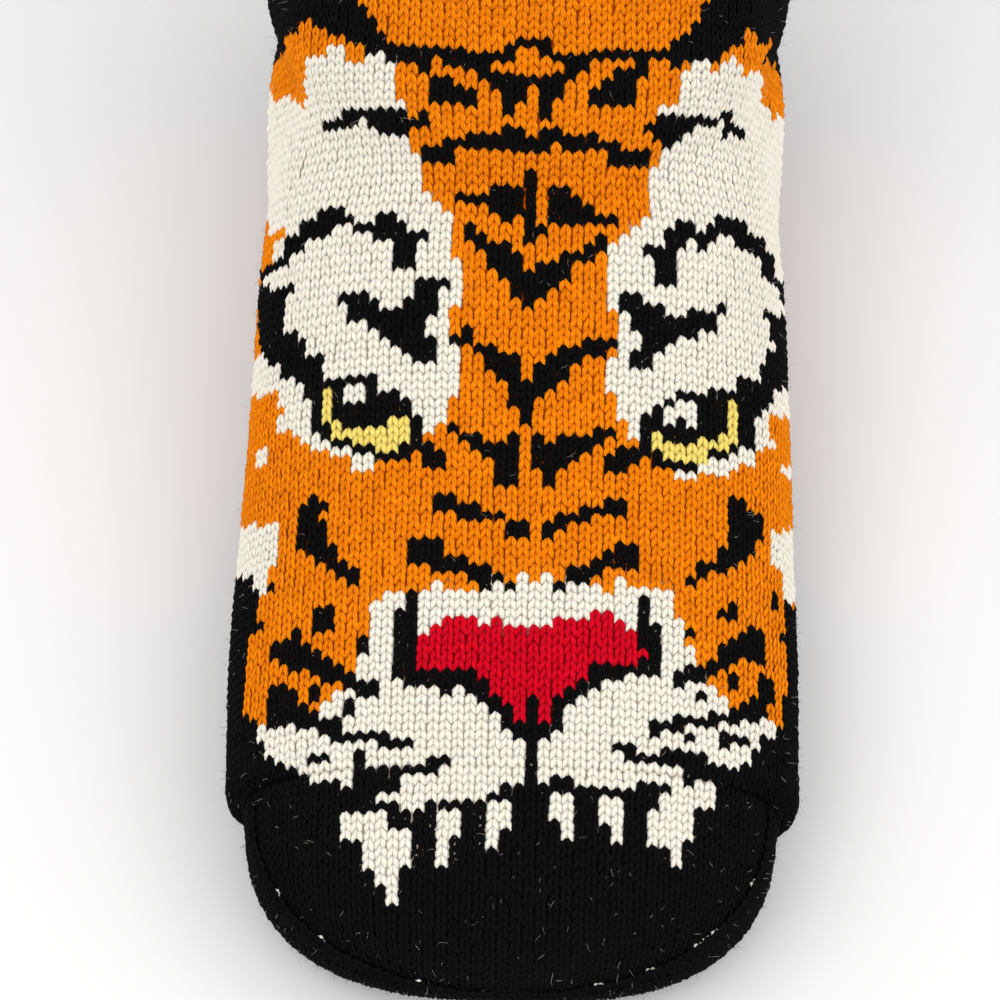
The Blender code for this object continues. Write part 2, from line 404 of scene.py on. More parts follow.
FACE_SHAPES = [
    # Chin and the black edges of the foot
    ("black", [(-40, 26), (-23.4, 26.2), (-22.5, 25), (-22.1, 20.1), (-23.1, 20), (-23.4, 14.5),
        (-23.8, 11.4), (-22.8, 10.3), (-20, 9), (0, 8), (16, 9.4), (20.4, 10), (20.8, 13.3), (21, 18.4),
        (20.5, 19), (20.8, 21), (20.5, 23), (40, 23.4), (40, -60), (-40, -60)]),
    # White patches and flecks on the edges of the cheeks
    ("white", [(-25, 31.4), (-22.2, 31.8), (-21.1, 32.3), (-20.5, 31), (-20.5, 28), (-21.2, 27.2),
        (-21.7, 26), (-21.9, 24.6), (-22.5, 23.8), (-22.6, 25.4), (-23.4, 26.2), (-25, 26.2)]),
    ("white", [(19.7, 30.6), (20.5, 31.3), (24, 31.3), (24, 23.4), (20.9, 23.4), (20.4, 24.6), (20.5, 26.4),
        (19.7, 27)]),
    ("black", [(-21.5, 25), (-20.7, 24.9), (-20.7, 23.9), (-21.5, 24)]),
    ("black", [(19.6, 24.8), (20.4, 24.6), (20.4, 22.8), (19.6, 22.8)]),
    ("white", [(-22.6, 40), (-21.7, 40), (-21.6, 38), (-22.6, 38)]),
    ("white", [(20.5, 38.2), (21.6, 38.2), (21.6, 37), (20.5, 37)]),
    # White round the eyes
    ("white", [(-18.7, 83.2), (-17.2, 82.3), (-16.9, 84.2), (-16, 84.2), (-15.1, 83.2), (-14.9, 82.4),
        (-14, 82.5), (-13.9, 83.4), (-12.1, 83.3), (-12, 82.4), (-11, 82), (-10.9, 78.1), (-9.9, 77.8),
        (-9.9, 72), (-9, 71.8), (-9, 68), (-8.2, 67.6), (-7.4, 66.8), (-6.6, 66), (-6.5, 61.6), (-5.9, 61),
        (-5.8, 57), (-6.2, 56), (-6.9, 55.8), (-6.9, 52), (-6.2, 51.6), (-6.2, 46), (-7, 45.8),
        (-7.3, 43.4), (-8, 42.2), (-9.2, 41), (-12.4, 38.6), (-12.5, 38.1), (-14.5, 38.1), (-14.6, 39),
        (-16.5, 39), (-16.6, 39.9), (-18.4, 40), (-18.6, 41.3), (-20, 42.3), (-21, 42.3), (-21, 43.2),
        (-20.1, 43.6), (-20.2, 44.6), (-21, 46), (-24, 45.6), (-24, 50), (-22, 50), (-22, 58.6),
        (-21.4, 59.2), (-21.2, 61.4), (-21, 62.8), (-20.2, 63.4), (-20.8, 64.3), (-21.4, 63.6), (-21.8, 68),
        (-24, 68), (-24, 79.5), (-21.5, 79.5), (-20.9, 78.3), (-19.6, 78.3), (-18.6, 77.3)]),
    ("white", [(12.8, 82.1), (14.5, 82), (14.8, 81.1), (15.4, 81), (15.7, 81.8), (16.3, 81.9), (16.5, 82.6),
        (17.1, 82.5), (17.3, 80.8), (17.9, 80.6), (18, 81.6), (18.9, 81.5), (18.9, 77.6), (19.7, 77.4),
        (19.9, 76.2), (24, 76), (24, 43.6), (19.5, 43.5), (19.5, 41), (20.2, 40.9), (20.2, 40.1),
        (18.2, 39.9), (18.1, 38.1), (16.2, 38.1), (16, 37.4), (14, 37.4), (13.9, 36.9), (12, 36.9),
        (12, 38.2), (9.2, 40.8), (8.1, 41), (7.9, 43), (7.2, 44), (7.1, 46), (6.3, 46.6), (6, 50.2),
        (6.8, 50.6), (6.8, 54.4), (5.9, 56.4), (6, 58), (6.7, 58.2), (6.6, 61.5), (6.8, 63.4), (7.5, 63.8),
        (8.2, 64.5), (8.9, 65.2), (9.6, 65), (9.6, 70.2), (10.6, 70.3), (10.6, 77.4), (11.7, 77.6),
        (11.9, 80.2), (12.6, 80.6)]),
    # White above the nose and on the muzzle
    ("white", [(-13.5, 23.4), (-12.6, 23.2), (-12.2, 24.5), (-10.1, 24.7), (-8.1, 24.9), (-7.9, 26),
        (-7, 26.2), (-6.8, 24.5), (-6.2, 24), (-5.6, 24.6), (-5.5, 25.2), (-4.8, 25.2), (-3.4, 25.8),
        (-1.4, 25.7), (-1.3, 26.6), (-0.5, 26.6), (-0.4, 26), (0.3, 26), (0.5, 26.8), (1.4, 26.8),
        (1.6, 26), (4.6, 25.7), (5.2, 26), (5.3, 24.8), (6.3, 24.7), (6.4, 26.4), (7.3, 26.4), (7.5, 25.6),
        (8.9, 25.3), (11.2, 25.1), (12, 24.3), (12, 22.4), (12.4, 20.8), (12.5, 19.2), (13.2, 18.9),
        (13.3, 16.9), (14.3, 15), (15.2, 14.5), (15.3, 13.5), (16.4, 13.4), (16.6, 12.2), (18.4, 11.2),
        (19.2, 10.7), (20.2, 10), (19.9, 8.8), (19.1, 8.4), (18.4, 7.2), (17.6, 6), (16.7, 5.4),
        (15.7, 5.5), (14.6, 5.9), (12.5, 5.4), (12.5, 4), (9.4, 3.7), (5.3, 3.2), (3.4, 3.4), (3.2, 4.1),
        (0.4, 4.1), (0.2, 5), (-0.8, 4.6), (-0.9, 3.6), (-2.4, 3.3), (-3.9, 2.9), (-4, 1.8), (-8.8, 1.7),
        (-8.9, 0.4), (-11, 0.4), (-11, 1.6), (-13, 1.6), (-13.2, 2.8), (-15, 3.8), (-18.3, 3.8), (-19.3, 5),
        (-20.4, 6), (-21.6, 6.6), (-21.7, 8.2), (-22.8, 8.8), (-22.8, 10.4), (-20, 10.2), (-17.3, 10.4),
        (-17.2, 12.6), (-16.2, 13.4), (-15.2, 13.4), (-14.3, 15), (-14.2, 17.6), (-13.5, 18.1),
        (-13.4, 20)]),
    # Wedges at the temples with the head line between them
    ("black", [(-24, 97), (-14.6, 97), (-14.3, 89), (-13.9, 88), (-13.3, 86.9), (-12.4, 86.4), (-12, 84.6),
        (-9.4, 83.6), (-2.3, 83.5), (-2.2, 84.7), (1.3, 84.7), (1.4, 83.6), (11.6, 83.6), (11.7, 84.8),
        (12, 85.8), (12.9, 85.8), (13.1, 86.9), (14, 87), (14.2, 88.6), (15, 89.2), (15.4, 97), (24, 97),
        (24, 79.4), (21, 79.6), (20.8, 81.8), (19, 82.3), (19.1, 83.4), (19.8, 83.5), (19.7, 84.3),
        (18.5, 84.4), (18.3, 85.5), (17.6, 85.4), (17.4, 84.5), (16.6, 84.4), (16.4, 83.4), (15.6, 83.3),
        (15.3, 82.5), (14.6, 82.4), (14.5, 82), (9.9, 82.2), (8.8, 83), (6.2, 82.9), (6, 82.1), (3.1, 82.5),
        (-3.2, 82.3), (-6, 82), (-8.3, 82.6), (-9.1, 82.3), (-10.3, 82.4), (-12, 82.8), (-12, 83.3),
        (-14, 83.4), (-14.1, 84.4), (-15, 84.2), (-15.2, 85), (-16.8, 85.2), (-17, 86), (-17.8, 86.2),
        (-18.2, 87), (-19, 86.6), (-19.2, 85.8), (-20, 85.2), (-20.3, 83.2), (-21.4, 83), (-24, 83)]),
    # Marks of the forehead
    ("black", [(-9.1, 83), (-8.3, 82.4), (-8.2, 81.6), (-7.4, 80.8), (-5.8, 80.2), (-5.4, 79.3), (-4.8, 79),
        (-4.7, 77.2), (-8, 77.8), (-8.2, 79.6), (-9, 80.8)]),
    ("black", [(5, 77.7), (5, 79.6), (6, 80), (6.3, 81), (7.7, 81.1), (8, 82), (8.8, 82.4), (8.9, 83),
        (9.9, 82.6), (9.6, 80.8), (8.9, 80.2), (8.7, 78)]),
    ("black", [(-6, 83), (-6, 82), (-4.4, 81.3), (-4, 80.6), (-3.3, 80.3), (-3, 79.3), (-2.4, 79.3),
        (-2.3, 76), (-1.4, 76), (-1.3, 77.3), (-0.6, 78), (-0.4, 79.4), (0.4, 79.4), (0.5, 76.1), (1.4, 76),
        (1.5, 77.3), (2.2, 77.8), (2.3, 79.3), (3, 79.6), (3.2, 80.5), (4, 80.7), (4.2, 81.7), (5.1, 82.1),
        (6, 82.2), (6, 83)]),
    ("orange", [(-3.2, 81.3), (-3.2, 82.3), (-1.7, 82.4), (-1.5, 83.5), (0.5, 83.5), (0.7, 82.6),
        (3.1, 82.6), (3.1, 81.5), (1.3, 81.5), (1.2, 80.5), (-1.3, 80.4), (-1.5, 81.3)]),
    ("black", [(-6, 73.6), (-5.2, 73.7), (-5.1, 74.2), (-2.4, 74.2), (-2.2, 75.3), (-0.5, 75.3),
        (-0.3, 74.4), (0.6, 74.4), (0.7, 75.1), (2.4, 75.1), (2.6, 74.4), (5.7, 74.3), (5.8, 73.6),
        (7.5, 73.6), (7.6, 72.9), (9.5, 72.8), (9.5, 70.4), (6.5, 70.4), (6.5, 72.4), (2.5, 72.3),
        (2.4, 73.1), (1.6, 73.1), (1.5, 72), (-1.2, 72), (-1.3, 73.1), (-1.9, 73.1), (-2, 72.4),
        (-5.1, 72.5), (-5.3, 73.2), (-6, 73.2)]),
    ("black", [(-9, 73.4), (-7, 73.4), (-6.9, 74), (-6.3, 74), (-6.2, 71.4), (-9, 71.4)]),
    # Bar and darts between the eyes
    ("black", [(-0.2, 70.6), (0.8, 70.6), (0.8, 64.6), (1.5, 64.6), (1.5, 63.3), (0.5, 63.1), (0.3, 62.3),
        (-0.2, 62.3), (-0.3, 63.2), (-1, 63.4), (-1, 64.8), (-0.2, 64.8)]),
    ("black", [(-6.4, 67.2), (-5.9, 67.8), (-4.8, 67.5), (-4.2, 68), (-3.4, 68.4), (-2.5, 69.1), (-1.4, 69),
        (-1, 68.5), (-1, 66), (-1.7, 65.8), (-2, 65.2), (-2.7, 65.5), (-3, 66.2), (-4.5, 66.6),
        (-6.2, 66.7)]),
    ("black", [(1.6, 68.4), (3, 68.9), (3.4, 68.2), (3.9, 67.9), (4.2, 67), (4.8, 66.8), (5, 65.9),
        (6.2, 66.1), (6.8, 66), (6.8, 65), (3.3, 65), (3.2, 64.2), (2.3, 64.2), (2.2, 65), (1.6, 65.1)]),
    # Brows
    ("black", [(-17.4, 74.6), (-17.2, 76.2), (-15.7, 76.1), (-15.5, 76.9), (-9.9, 76.9), (-9.8, 76.5),
        (-8, 76.5), (-7.9, 75.6), (-8.9, 75.4), (-9.1, 74.8), (-9.9, 74.5), (-10, 73.9), (-11.9, 73.8),
        (-12.1, 74.7), (-12.9, 74.8), (-13.1, 75.7), (-15.4, 75.4), (-15.5, 74.6)]),
    ("black", [(8.8, 75.9), (10.5, 76), (10.7, 76.4), (16.4, 76.5), (16.6, 75.3), (17.5, 75.1),
        (17.4, 74.1), (15.7, 74.2), (15.6, 75.5), (13.7, 75.5), (13.6, 74.3), (12.6, 74.2), (12.5, 73),
        (10.7, 73.1), (10.6, 74), (9.7, 74.2), (9.6, 75.1), (8.8, 75.3)]),
    # Pointed bars down the bridge
    ("black", [(-5.8, 63.3), (-5.5, 64.7), (-4.8, 64.5), (-3.9, 63.5), (-3.3, 63), (-2.2, 62.7),
        (-1.9, 61.9), (-1.2, 61.6), (-1, 60.3), (-0.4, 59.9), (0, 59), (0.5, 59.4), (0.7, 60.4),
        (1.8, 60.9), (2.6, 61.5), (3.9, 61.6), (4.4, 62.3), (5.1, 62.5), (5.3, 63.2), (5.8, 63.1),
        (5.8, 61.7), (4.8, 60.7), (3.4, 60), (3.1, 58.9), (1.8, 57.9), (1.4, 56.9), (0.6, 56.2),
        (0.3, 55.5), (-0.5, 56.1), (-1.2, 56.8), (-1.4, 57.8), (-2.4, 58.8), (-3.3, 60), (-4, 60.6),
        (-4, 61.6), (-4.9, 62.3)]),
    ("black", [(-7, 51.8), (-6.2, 52.6), (-5.5, 53.4), (-4.7, 52.8), (-4.1, 51.6), (-2.9, 51.8),
        (-2.3, 50.9), (-1.3, 50.2), (-0.6, 49.6), (-0.4, 48), (0.2, 48), (0.5, 49.5), (1.6, 50.3),
        (2.6, 51), (3.8, 50.9), (4.4, 51.6), (5.4, 52.4), (6.2, 51.6), (6.9, 51.5), (6.9, 50.6),
        (5.9, 50.7), (5, 50.3), (4, 49.7), (3.2, 48.3), (2, 47.2), (1.2, 46.1), (0.5, 45.2), (0.3, 42.7),
        (-0.6, 42.9), (-0.7, 44.3), (-1.5, 45), (-1.8, 46.6), (-2.9, 47.8), (-3.5, 48.4), (-3.7, 49.5),
        (-4.5, 50.4), (-5.4, 51.5)]),
    ("black", [(-7.3, 42.4), (-6.9, 42.9), (-5.7, 42.9), (-5.3, 41.8), (-4, 42), (-3.4, 41.2), (-1.7, 41.2),
        (-1.4, 41.9), (-0.7, 41.9), (-0.6, 38.6), (-1.3, 38.3), (-1.5, 35.9), (-2.6, 35.9), (-2.7, 38.1),
        (-3.6, 38.8), (-4.6, 39.9), (-5.7, 41), (-6.9, 41.8)]),
    ("black", [(0.3, 41.8), (1.2, 41.8), (1.4, 41.1), (2.1, 41.2), (2.5, 41.8), (4.8, 41.8), (5.3, 42.4),
        (7.1, 42.4), (7.1, 41.2), (6.2, 40.9), (5.2, 40.4), (4.2, 39.3), (3.1, 38.3), (2.2, 37.6),
        (2.1, 35.9), (1.1, 35.9), (1, 37.8), (0.4, 38.4)]),
    # Arch, ring, inner mark, pupil, iris and light of the eye at -X
    ("black", [(-20.2, 63.4), (-19.2, 63.9), (-18.9, 64.7), (-18, 65.4), (-17.1, 65.9), (-16.5, 66.2),
        (-14.7, 66), (-14.3, 65), (-12.9, 65), (-12.7, 65.9), (-11.4, 65.9), (-11, 65.3), (-10.2, 65.2),
        (-10.1, 63.8), (-8.8, 63.7), (-8.8, 62.8), (-9.4, 62.5), (-9.5, 60.2), (-11.1, 60.2), (-11.2, 63.1),
        (-12.8, 63.2), (-13.3, 63.9), (-13.9, 63.5), (-14.5, 64.2), (-16.2, 64.3), (-16.4, 62.8),
        (-18.4, 62.9), (-18.6, 61.3), (-19.4, 61.4), (-20, 60.2), (-20.7, 59.6), (-21.6, 58.8),
        (-22.4, 58.2), (-22.4, 59.2), (-21.2, 60.6), (-20.4, 61), (-20.4, 62.6)]),
    ("black", [(-22.4, 58.3), (-20.7, 57.6), (-19.3, 58.1), (-19.1, 57), (-20, 56.6), (-20.1, 53.1),
        (-19.4, 52.6), (-19.3, 51.8), (-18.7, 51.6), (-18.6, 50), (-16.9, 50), (-16.8, 48), (-16.8, 43),
        (-18.3, 43.3), (-18.2, 45.7), (-18.9, 46), (-19, 47.5), (-20.6, 47.8), (-20.7, 49), (-21.6, 49.6),
        (-22.2, 50.4)]),
    ("black", [(-15.9, 56.3), (-15.5, 57), (-12.7, 56.9), (-12.2, 55.7), (-10.6, 55.7), (-10.3, 56.6),
        (-9.6, 56.7), (-9.4, 57.7), (-8.9, 58.9), (-7, 58.9), (-6.9, 57.4), (-7.9, 57), (-8, 54.2),
        (-8.9, 53.2), (-8.9, 52.5), (-8, 52.3), (-8, 50.2), (-8.8, 49.3), (-9.8, 49.3), (-10.2, 50.3),
        (-10.8, 50.5), (-11.4, 51.3), (-12.5, 52.3), (-12.7, 53.2), (-13.6, 53.9), (-15.1, 54),
        (-15.1, 56)]),
    ("black", [(-17.4, 48), (-12.9, 47.9), (-12.8, 46.7), (-11, 46.7), (-10.9, 46.1), (-10.1, 45.6),
        (-10, 45), (-9.4, 44.9), (-9.3, 41.5), (-8.7, 41.4), (-8.2, 40.7), (-7.3, 40.2), (-6.8, 39.2),
        (-6.4, 38.2), (-7.2, 37.7), (-8.9, 38.3), (-9, 39.6), (-9.4, 39.9), (-10.3, 40), (-10.4, 39.2),
        (-14.4, 39.2), (-14.6, 40.2), (-16.5, 40.5), (-16.6, 41.1), (-17.5, 41.4), (-18.3, 43.2)]),
    ("yellow", [(-17.2, 43.4), (-17.1, 47.2), (-16, 47.2), (-15.9, 44), (-16.2, 43.4), (-15.2, 43.4),
        (-15.1, 42.4), (-12.2, 42.3), (-12.1, 43.2), (-11.2, 43.2), (-11.1, 44), (-10.3, 43.8), (-10.2, 41),
        (-11.2, 40.9), (-11.3, 40.2), (-14.4, 40.2), (-14.5, 41), (-15.6, 41.1), (-16.4, 41.6),
        (-16.4, 43.2)]),
    ("white", [(-15.8, 47), (-13.9, 47), (-13.9, 45.2), (-15.8, 45.2)]),
    # The same of the eye at +X
    ("black", [(8.8, 61.3), (8.8, 62.5), (10.5, 61.8), (10.6, 64.2), (11.5, 64.4), (11.7, 65.1),
        (13.1, 65.2), (13.3, 64.3), (15, 64.3), (15.2, 65.1), (17.4, 65.1), (17.6, 64.2), (18.3, 63.9),
        (18.6, 62.9), (19.1, 62.5), (19.3, 61.4), (19.9, 61), (20.1, 58.6), (22, 58), (22, 55.5),
        (20.3, 56), (20.2, 57.2), (19.6, 57.9), (19.4, 58.8), (18.8, 59.1), (18.6, 61.1), (17, 61.3),
        (16.9, 63.1), (15.1, 63), (14.9, 62.1), (13.4, 62.2), (13.2, 63.1), (12.4, 63), (12.3, 62.3),
        (11.5, 62.3), (11.5, 58), (10.6, 58), (10.5, 58.9), (9.7, 59), (9.7, 60.7)]),
    ("black", [(22, 55.2), (20.6, 54.8), (19.7, 54.7), (19.3, 55.3), (19.1, 54.3), (19.7, 54), (19.9, 50.6),
        (19.3, 50.4), (19.2, 49.3), (18.8, 49.1), (18.7, 47.6), (17.7, 47.5), (17.2, 48), (16.9, 47.4),
        (17, 41), (18.1, 40.2), (18.1, 43), (18.7, 43.4), (18.7, 44.3), (20, 45), (20.1, 46.4),
        (22, 46.8)]),
    ("black", [(6.9, 55.4), (7, 57), (7.3, 57.5), (7.7, 56.8), (9.1, 56.7), (9.6, 55.6), (10.5, 55.6),
        (10.7, 54.8), (12.6, 54.8), (12.8, 55.4), (16.2, 55.4), (16.4, 54.4), (15.6, 54.4), (15.6, 52.6),
        (14, 52.8), (13.7, 52), (12.1, 52), (11.9, 51), (11, 50.9), (10.9, 50.3), (9.9, 50.1), (9.8, 48.9),
        (8.7, 48.5), (7.9, 48.8), (8, 50.6), (8.7, 50.8), (8.9, 52.2), (8.6, 53), (7.8, 53.2),
        (7.7, 54.8)]),
    ("black", [(9, 43.8), (9.5, 44.3), (10.1, 44.3), (10.2, 45.1), (11.1, 45.2), (11.2, 46), (13, 46.1),
        (13.2, 46.6), (17.4, 46.3), (17.4, 40.2), (16.3, 40), (16.2, 39), (14.3, 38.9), (13.9, 38.1),
        (10.2, 38.2), (9.8, 39), (9, 39.2), (8.2, 38.2), (7.6, 37.5), (6.9, 37.2), (6.2, 37.9), (6, 39.1),
        (6.8, 39.7), (7.7, 40), (8.2, 40.6), (9, 40.7)]),
    ("yellow", [(9.8, 40.4), (9.9, 41.8), (11.1, 42), (11.2, 41), (15.1, 40.8), (15.2, 41.4), (16, 41.5),
        (16.1, 45.4), (17.1, 45.3), (17.2, 40.4), (16.2, 40.2), (16, 39.6), (15.2, 39.8), (14.2, 39.5),
        (14.1, 38.8), (11.1, 38.8), (11, 40), (9.9, 40.1)]),
    ("white", [(11.1, 45), (13.2, 45), (13.3, 42.9), (12.3, 42.8), (12.2, 43.2), (11.1, 43.2)]),
    # Bars across the nose bridge
    ("black", [(-8.6, 33.1), (-8.5, 35.1), (-6.6, 35.3), (-6.4, 34.2), (-4.7, 34.3), (-4.5, 33.3),
        (-2.6, 33.3), (-2.5, 32.4), (-0.6, 32.3), (-0.5, 30.5), (-2.5, 30.4), (-2.6, 32), (-5.6, 32.1),
        (-5.8, 33)]),
    ("black", [(0.4, 30.4), (0.5, 32.3), (2.2, 32.4), (2.4, 33.2), (3.9, 33.2), (4.1, 34.1), (5.7, 34.2),
        (5.9, 34.9), (7.9, 34.9), (8, 32.8), (5.3, 32.6), (5, 31.9), (2.4, 31.9), (2.3, 30.5)]),
    ("black", [(-9.9, 27.2), (-9.8, 30), (-8, 30.3), (-6.8, 29.2), (-6.6, 28.3), (-4.9, 28.4), (-4.6, 27.8),
        (-3.8, 27.6), (-3.6, 26.6), (-2.7, 26.5), (-2.6, 25.8), (-3.4, 25.8), (-3.7, 25.2), (-4.7, 25.2),
        (-4.9, 26.2), (-6.6, 26.4), (-6.8, 27)]),
    ("black", [(2.6, 25.9), (2.7, 26.5), (3.6, 27.6), (4.5, 27.8), (4.7, 28.5), (6.1, 28.7), (6.3, 29.4),
        (7, 29.6), (7.1, 30.2), (8.9, 30), (9.2, 27.3), (5.4, 27.2), (5.2, 26.5), (4.5, 26.4),
        (4.3, 25.8)]),
    ("black", [(-2.6, 24.5), (-2.1, 25.9), (-1.7, 25.9), (-1.5, 24.5)]),
    ("black", [(1.5, 24.7), (1.8, 26), (2.2, 26), (2.6, 24.9)]),
    # Stripes of the cheeks
    ("black", [(-19.5, 30.8), (-19.5, 33.8), (-18.7, 34.3), (-18.5, 35.3), (-17.1, 35.6), (-16.9, 33.4),
        (-17.6, 33.2), (-17.6, 32.4), (-16.9, 32.3), (-16.9, 29.5), (-16.2, 29.3), (-16.1, 28.5),
        (-15.2, 28.3), (-15, 27.4), (-14.4, 27.2), (-14.3, 25.2), (-15.3, 25.3), (-15.5, 26.2),
        (-16.3, 26.7), (-16.5, 27.2), (-17.1, 27.3), (-17.3, 27.9), (-18.1, 28.1), (-18.3, 28.6),
        (-18.9, 28.8), (-19, 30.4)]),
    ("black", [(12.9, 25.4), (13, 26.6), (13.8, 26.7), (13.9, 28), (14.9, 28.1), (15, 29.1), (15.9, 29.1),
        (16, 34.7), (17.9, 34.6), (18.1, 33.5), (18.8, 33.4), (19, 30.2), (18.2, 30.3), (18, 28.2),
        (17, 28.3), (16.8, 27.4), (16, 27.4), (15.9, 26.9), (15, 26.9), (14.8, 26.2), (14, 26.2),
        (13.8, 25.4)]),
    ("black", [(-20.2, 19.4), (-19.6, 20.4), (-19, 20), (-19, 19.4), (-18.1, 19.3), (-18, 18.5),
        (-17.3, 18.3), (-17.2, 17.6), (-16.3, 17.4), (-16.2, 16.7), (-15.3, 16.6), (-15.1, 15.4),
        (-14.3, 15.2), (-14.1, 14.7), (-12.4, 14.7), (-12.2, 13.5), (-15.1, 13.5), (-15.3, 14.5),
        (-17.2, 14.6), (-17.4, 15.3), (-18.2, 15.2), (-18.4, 16.1), (-20, 16.2), (-20.4, 17), (-21.3, 17.2),
        (-21.2, 18.4), (-20.8, 19.2)]),
    ("black", [(18, 20.6), (18.9, 20.4), (19, 16.7), (17.9, 16.9), (17.2, 17.2), (17.1, 16.3), (16.3, 16.3),
        (16.2, 15.6), (14.4, 15.4), (13.9, 15), (12.4, 14.9), (12.4, 14.2), (11.5, 14.3), (11.5, 15.7),
        (12.4, 16.2), (12.6, 16.9), (14.2, 16.8), (14.3, 17.5), (15.1, 17.6), (15.2, 18.5), (16.2, 18.6),
        (16.3, 19.3), (17.1, 19.4), (17.2, 20), (17.9, 20)]),
    ("black", [(-21.7, 13), (-20.9, 14.9), (-20.4, 14.8), (-20.3, 14), (-19.6, 14), (-19.4, 12.2),
        (-18.6, 12.3), (-18.3, 11.3), (-17.4, 11.3), (-17.2, 10.6), (-15.2, 10.5), (-15, 9.4), (-12.4, 9.6),
        (-12.1, 9.1), (-10.2, 8.8), (-9.9, 7.4), (-13, 7.3), (-13.1, 8.2), (-16.2, 8.2), (-16.4, 9.3),
        (-19.4, 9), (-19.6, 10), (-21.6, 9.9)]),
    ("black", [(9.4, 10.2), (11.3, 10.3), (11.5, 11.2), (14.4, 11), (14.5, 11.6), (16.4, 11.6),
        (16.6, 12.3), (17.6, 12.5), (18.3, 13.2), (18.4, 14.8), (19.3, 15.4), (19.8, 14.6), (19.8, 12),
        (19.2, 11.8), (19.1, 11), (18.3, 10.8), (18.2, 10.3), (14.6, 10), (12.5, 9.9), (12.4, 9.1),
        (9.4, 9.1)]),
    ("black", [(-15, 5.3), (-12.6, 5.4), (-11.2, 5.3), (-9.3, 5.7), (-8.9, 6.5), (-7.2, 6.8), (-6.9, 5.8),
        (-7.8, 5.6), (-7.9, 4.3), (-10.8, 4.3), (-10.9, 2.8), (-12.1, 2.6), (-13.1, 2.9), (-15, 3.6)]),
    ("black", [(6.1, 7.3), (6.9, 8.2), (8.3, 8.2), (8.5, 7.2), (12.4, 7.1), (14.5, 6.9), (14.6, 5.9),
        (12.5, 5.3), (10.2, 5.3), (10.1, 6), (7.3, 5.9), (7, 6.8), (6.2, 6.7)]),
    # Nose with the bars beside it and the line under it
    ("black", [(-11.2, 22.3), (-10.1, 22.5), (-10, 24.8), (-9, 24.8), (-8.9, 18), (8.3, 18), (8.3, 24.6),
        (9.2, 24.6), (9.4, 22.4), (10.1, 22.2), (10.3, 19), (10.4, 15.8), (8.4, 15.4), (7.2, 14.4),
        (5.2, 14.4), (4.3, 13.2), (3.5, 13), (3.3, 12), (2.3, 11.8), (2.3, 10), (1.2, 9.4), (1, 8.4),
        (0.3, 8), (0.3, 3), (-0.5, 3), (-0.5, 7), (-1, 8.2), (-1.8, 8.3), (-2, 9.4), (-2.6, 9.8),
        (-2.9, 11.6), (-3.7, 11.6), (-3.8, 12.6), (-4.6, 12.8), (-4.8, 13.8), (-6.2, 13.9), (-6.9, 13.4),
        (-7.8, 13.4), (-8, 14.2), (-8.6, 14.5), (-9.7, 14.3), (-10.2, 15), (-11.1, 14.9)]),
    ("red", [(-10, 17.2), (-9.5, 18.2), (-9, 18.4), (-8.9, 19.7), (-8, 19.9), (-7.9, 20.7), (-6.9, 21.2),
        (-6.6, 22), (-5.4, 22.3), (-4.8, 21.6), (-3.8, 21.4), (-2, 21.6), (-1.7, 20.6), (1.4, 20.7),
        (1.7, 21.6), (4.4, 21.8), (4.7, 22.8), (6.3, 22.7), (6.5, 21.8), (7.2, 21.5), (7.3, 20.9),
        (8.2, 20.7), (8.4, 19.4), (9, 19.4), (9.3, 17.6), (8.5, 17.4), (8.2, 16.4), (4.6, 16.4),
        (4.4, 15.4), (3.6, 15.4), (3.4, 14.2), (2.7, 14.1), (2.4, 13.1), (1.4, 13), (1.3, 10.8),
        (0.3, 10.8), (0.2, 13.1), (-0.6, 13.1), (-0.7, 10.3), (-1.8, 10.4), (-1.9, 12.8), (-2.8, 13.6),
        (-3.6, 14), (-3.8, 14.9), (-4.7, 15), (-4.9, 16), (-8.8, 15.6), (-8.9, 16.5), (-10, 16.6)]),
    # Spots
    ("black", [(-18, 22.6), (-16.1, 22.8), (-16.1, 20.6), (-18, 20.5)]),
    ("black", [(15.1, 23.1), (17.1, 23.1), (17.1, 21.1), (15.1, 21.3)]),
    ("black", [(-14.3, 20), (-13.3, 20), (-13.4, 18), (-14.3, 17.8)]),
    ("black", [(12.3, 20.7), (13.2, 20.8), (13.2, 19.2), (12.3, 19.4)]),
    ("black", [(-18.3, 14.4), (-17.3, 14.4), (-17.3, 12.8), (-18.3, 12.7)]),
    ("black", [(16.4, 15.3), (17.3, 15), (17.3, 13.8), (16.4, 14)]),
    ("black", [(-15.1, 12.6), (-14.2, 12.4), (-14.2, 11), (-15.1, 11.2)]),
    ("black", [(13.3, 14), (14.3, 13.9), (14.4, 12.7), (13.3, 12.8)]),
    ("black", [(-14.1, 6.9), (-13.5, 7.4), (-13.1, 6.8), (-13.1, 5.8), (-14.1, 5.6)]),
    ("black", [(12.5, 9.2), (13.5, 9.1), (13.5, 8), (12.5, 8.1)]),
    ("black", [(-18.3, 7.1), (-16.2, 7.2), (-16.2, 6), (-18.3, 5.9)]),
    ("black", [(15.5, 8.9), (17.5, 8.7), (17.5, 7.6), (15.5, 7.7)]),
    # Fangs and teeth
    ("white", [(-15.4, 0.6), (-14.2, 0.9), (-12.5, 0.9), (-11.9, 0.5), (-11.9, -1.7), (-9.9, -1.8),
        (-9.8, -5.2), (-10.9, -5.2), (-11.1, -9.7), (-12.2, -9.7), (-12.3, -7.6), (-13.2, -7.7),
        (-13.2, -5.4), (-14.1, -5.4), (-14.2, -2.9), (-15.2, -2.8)]),
    ("white", [(9.5, 0.7), (10.4, 0.7), (10.5, 3), (13.6, 3.2), (13.7, 4.1), (14.7, 4), (14.8, 1.2),
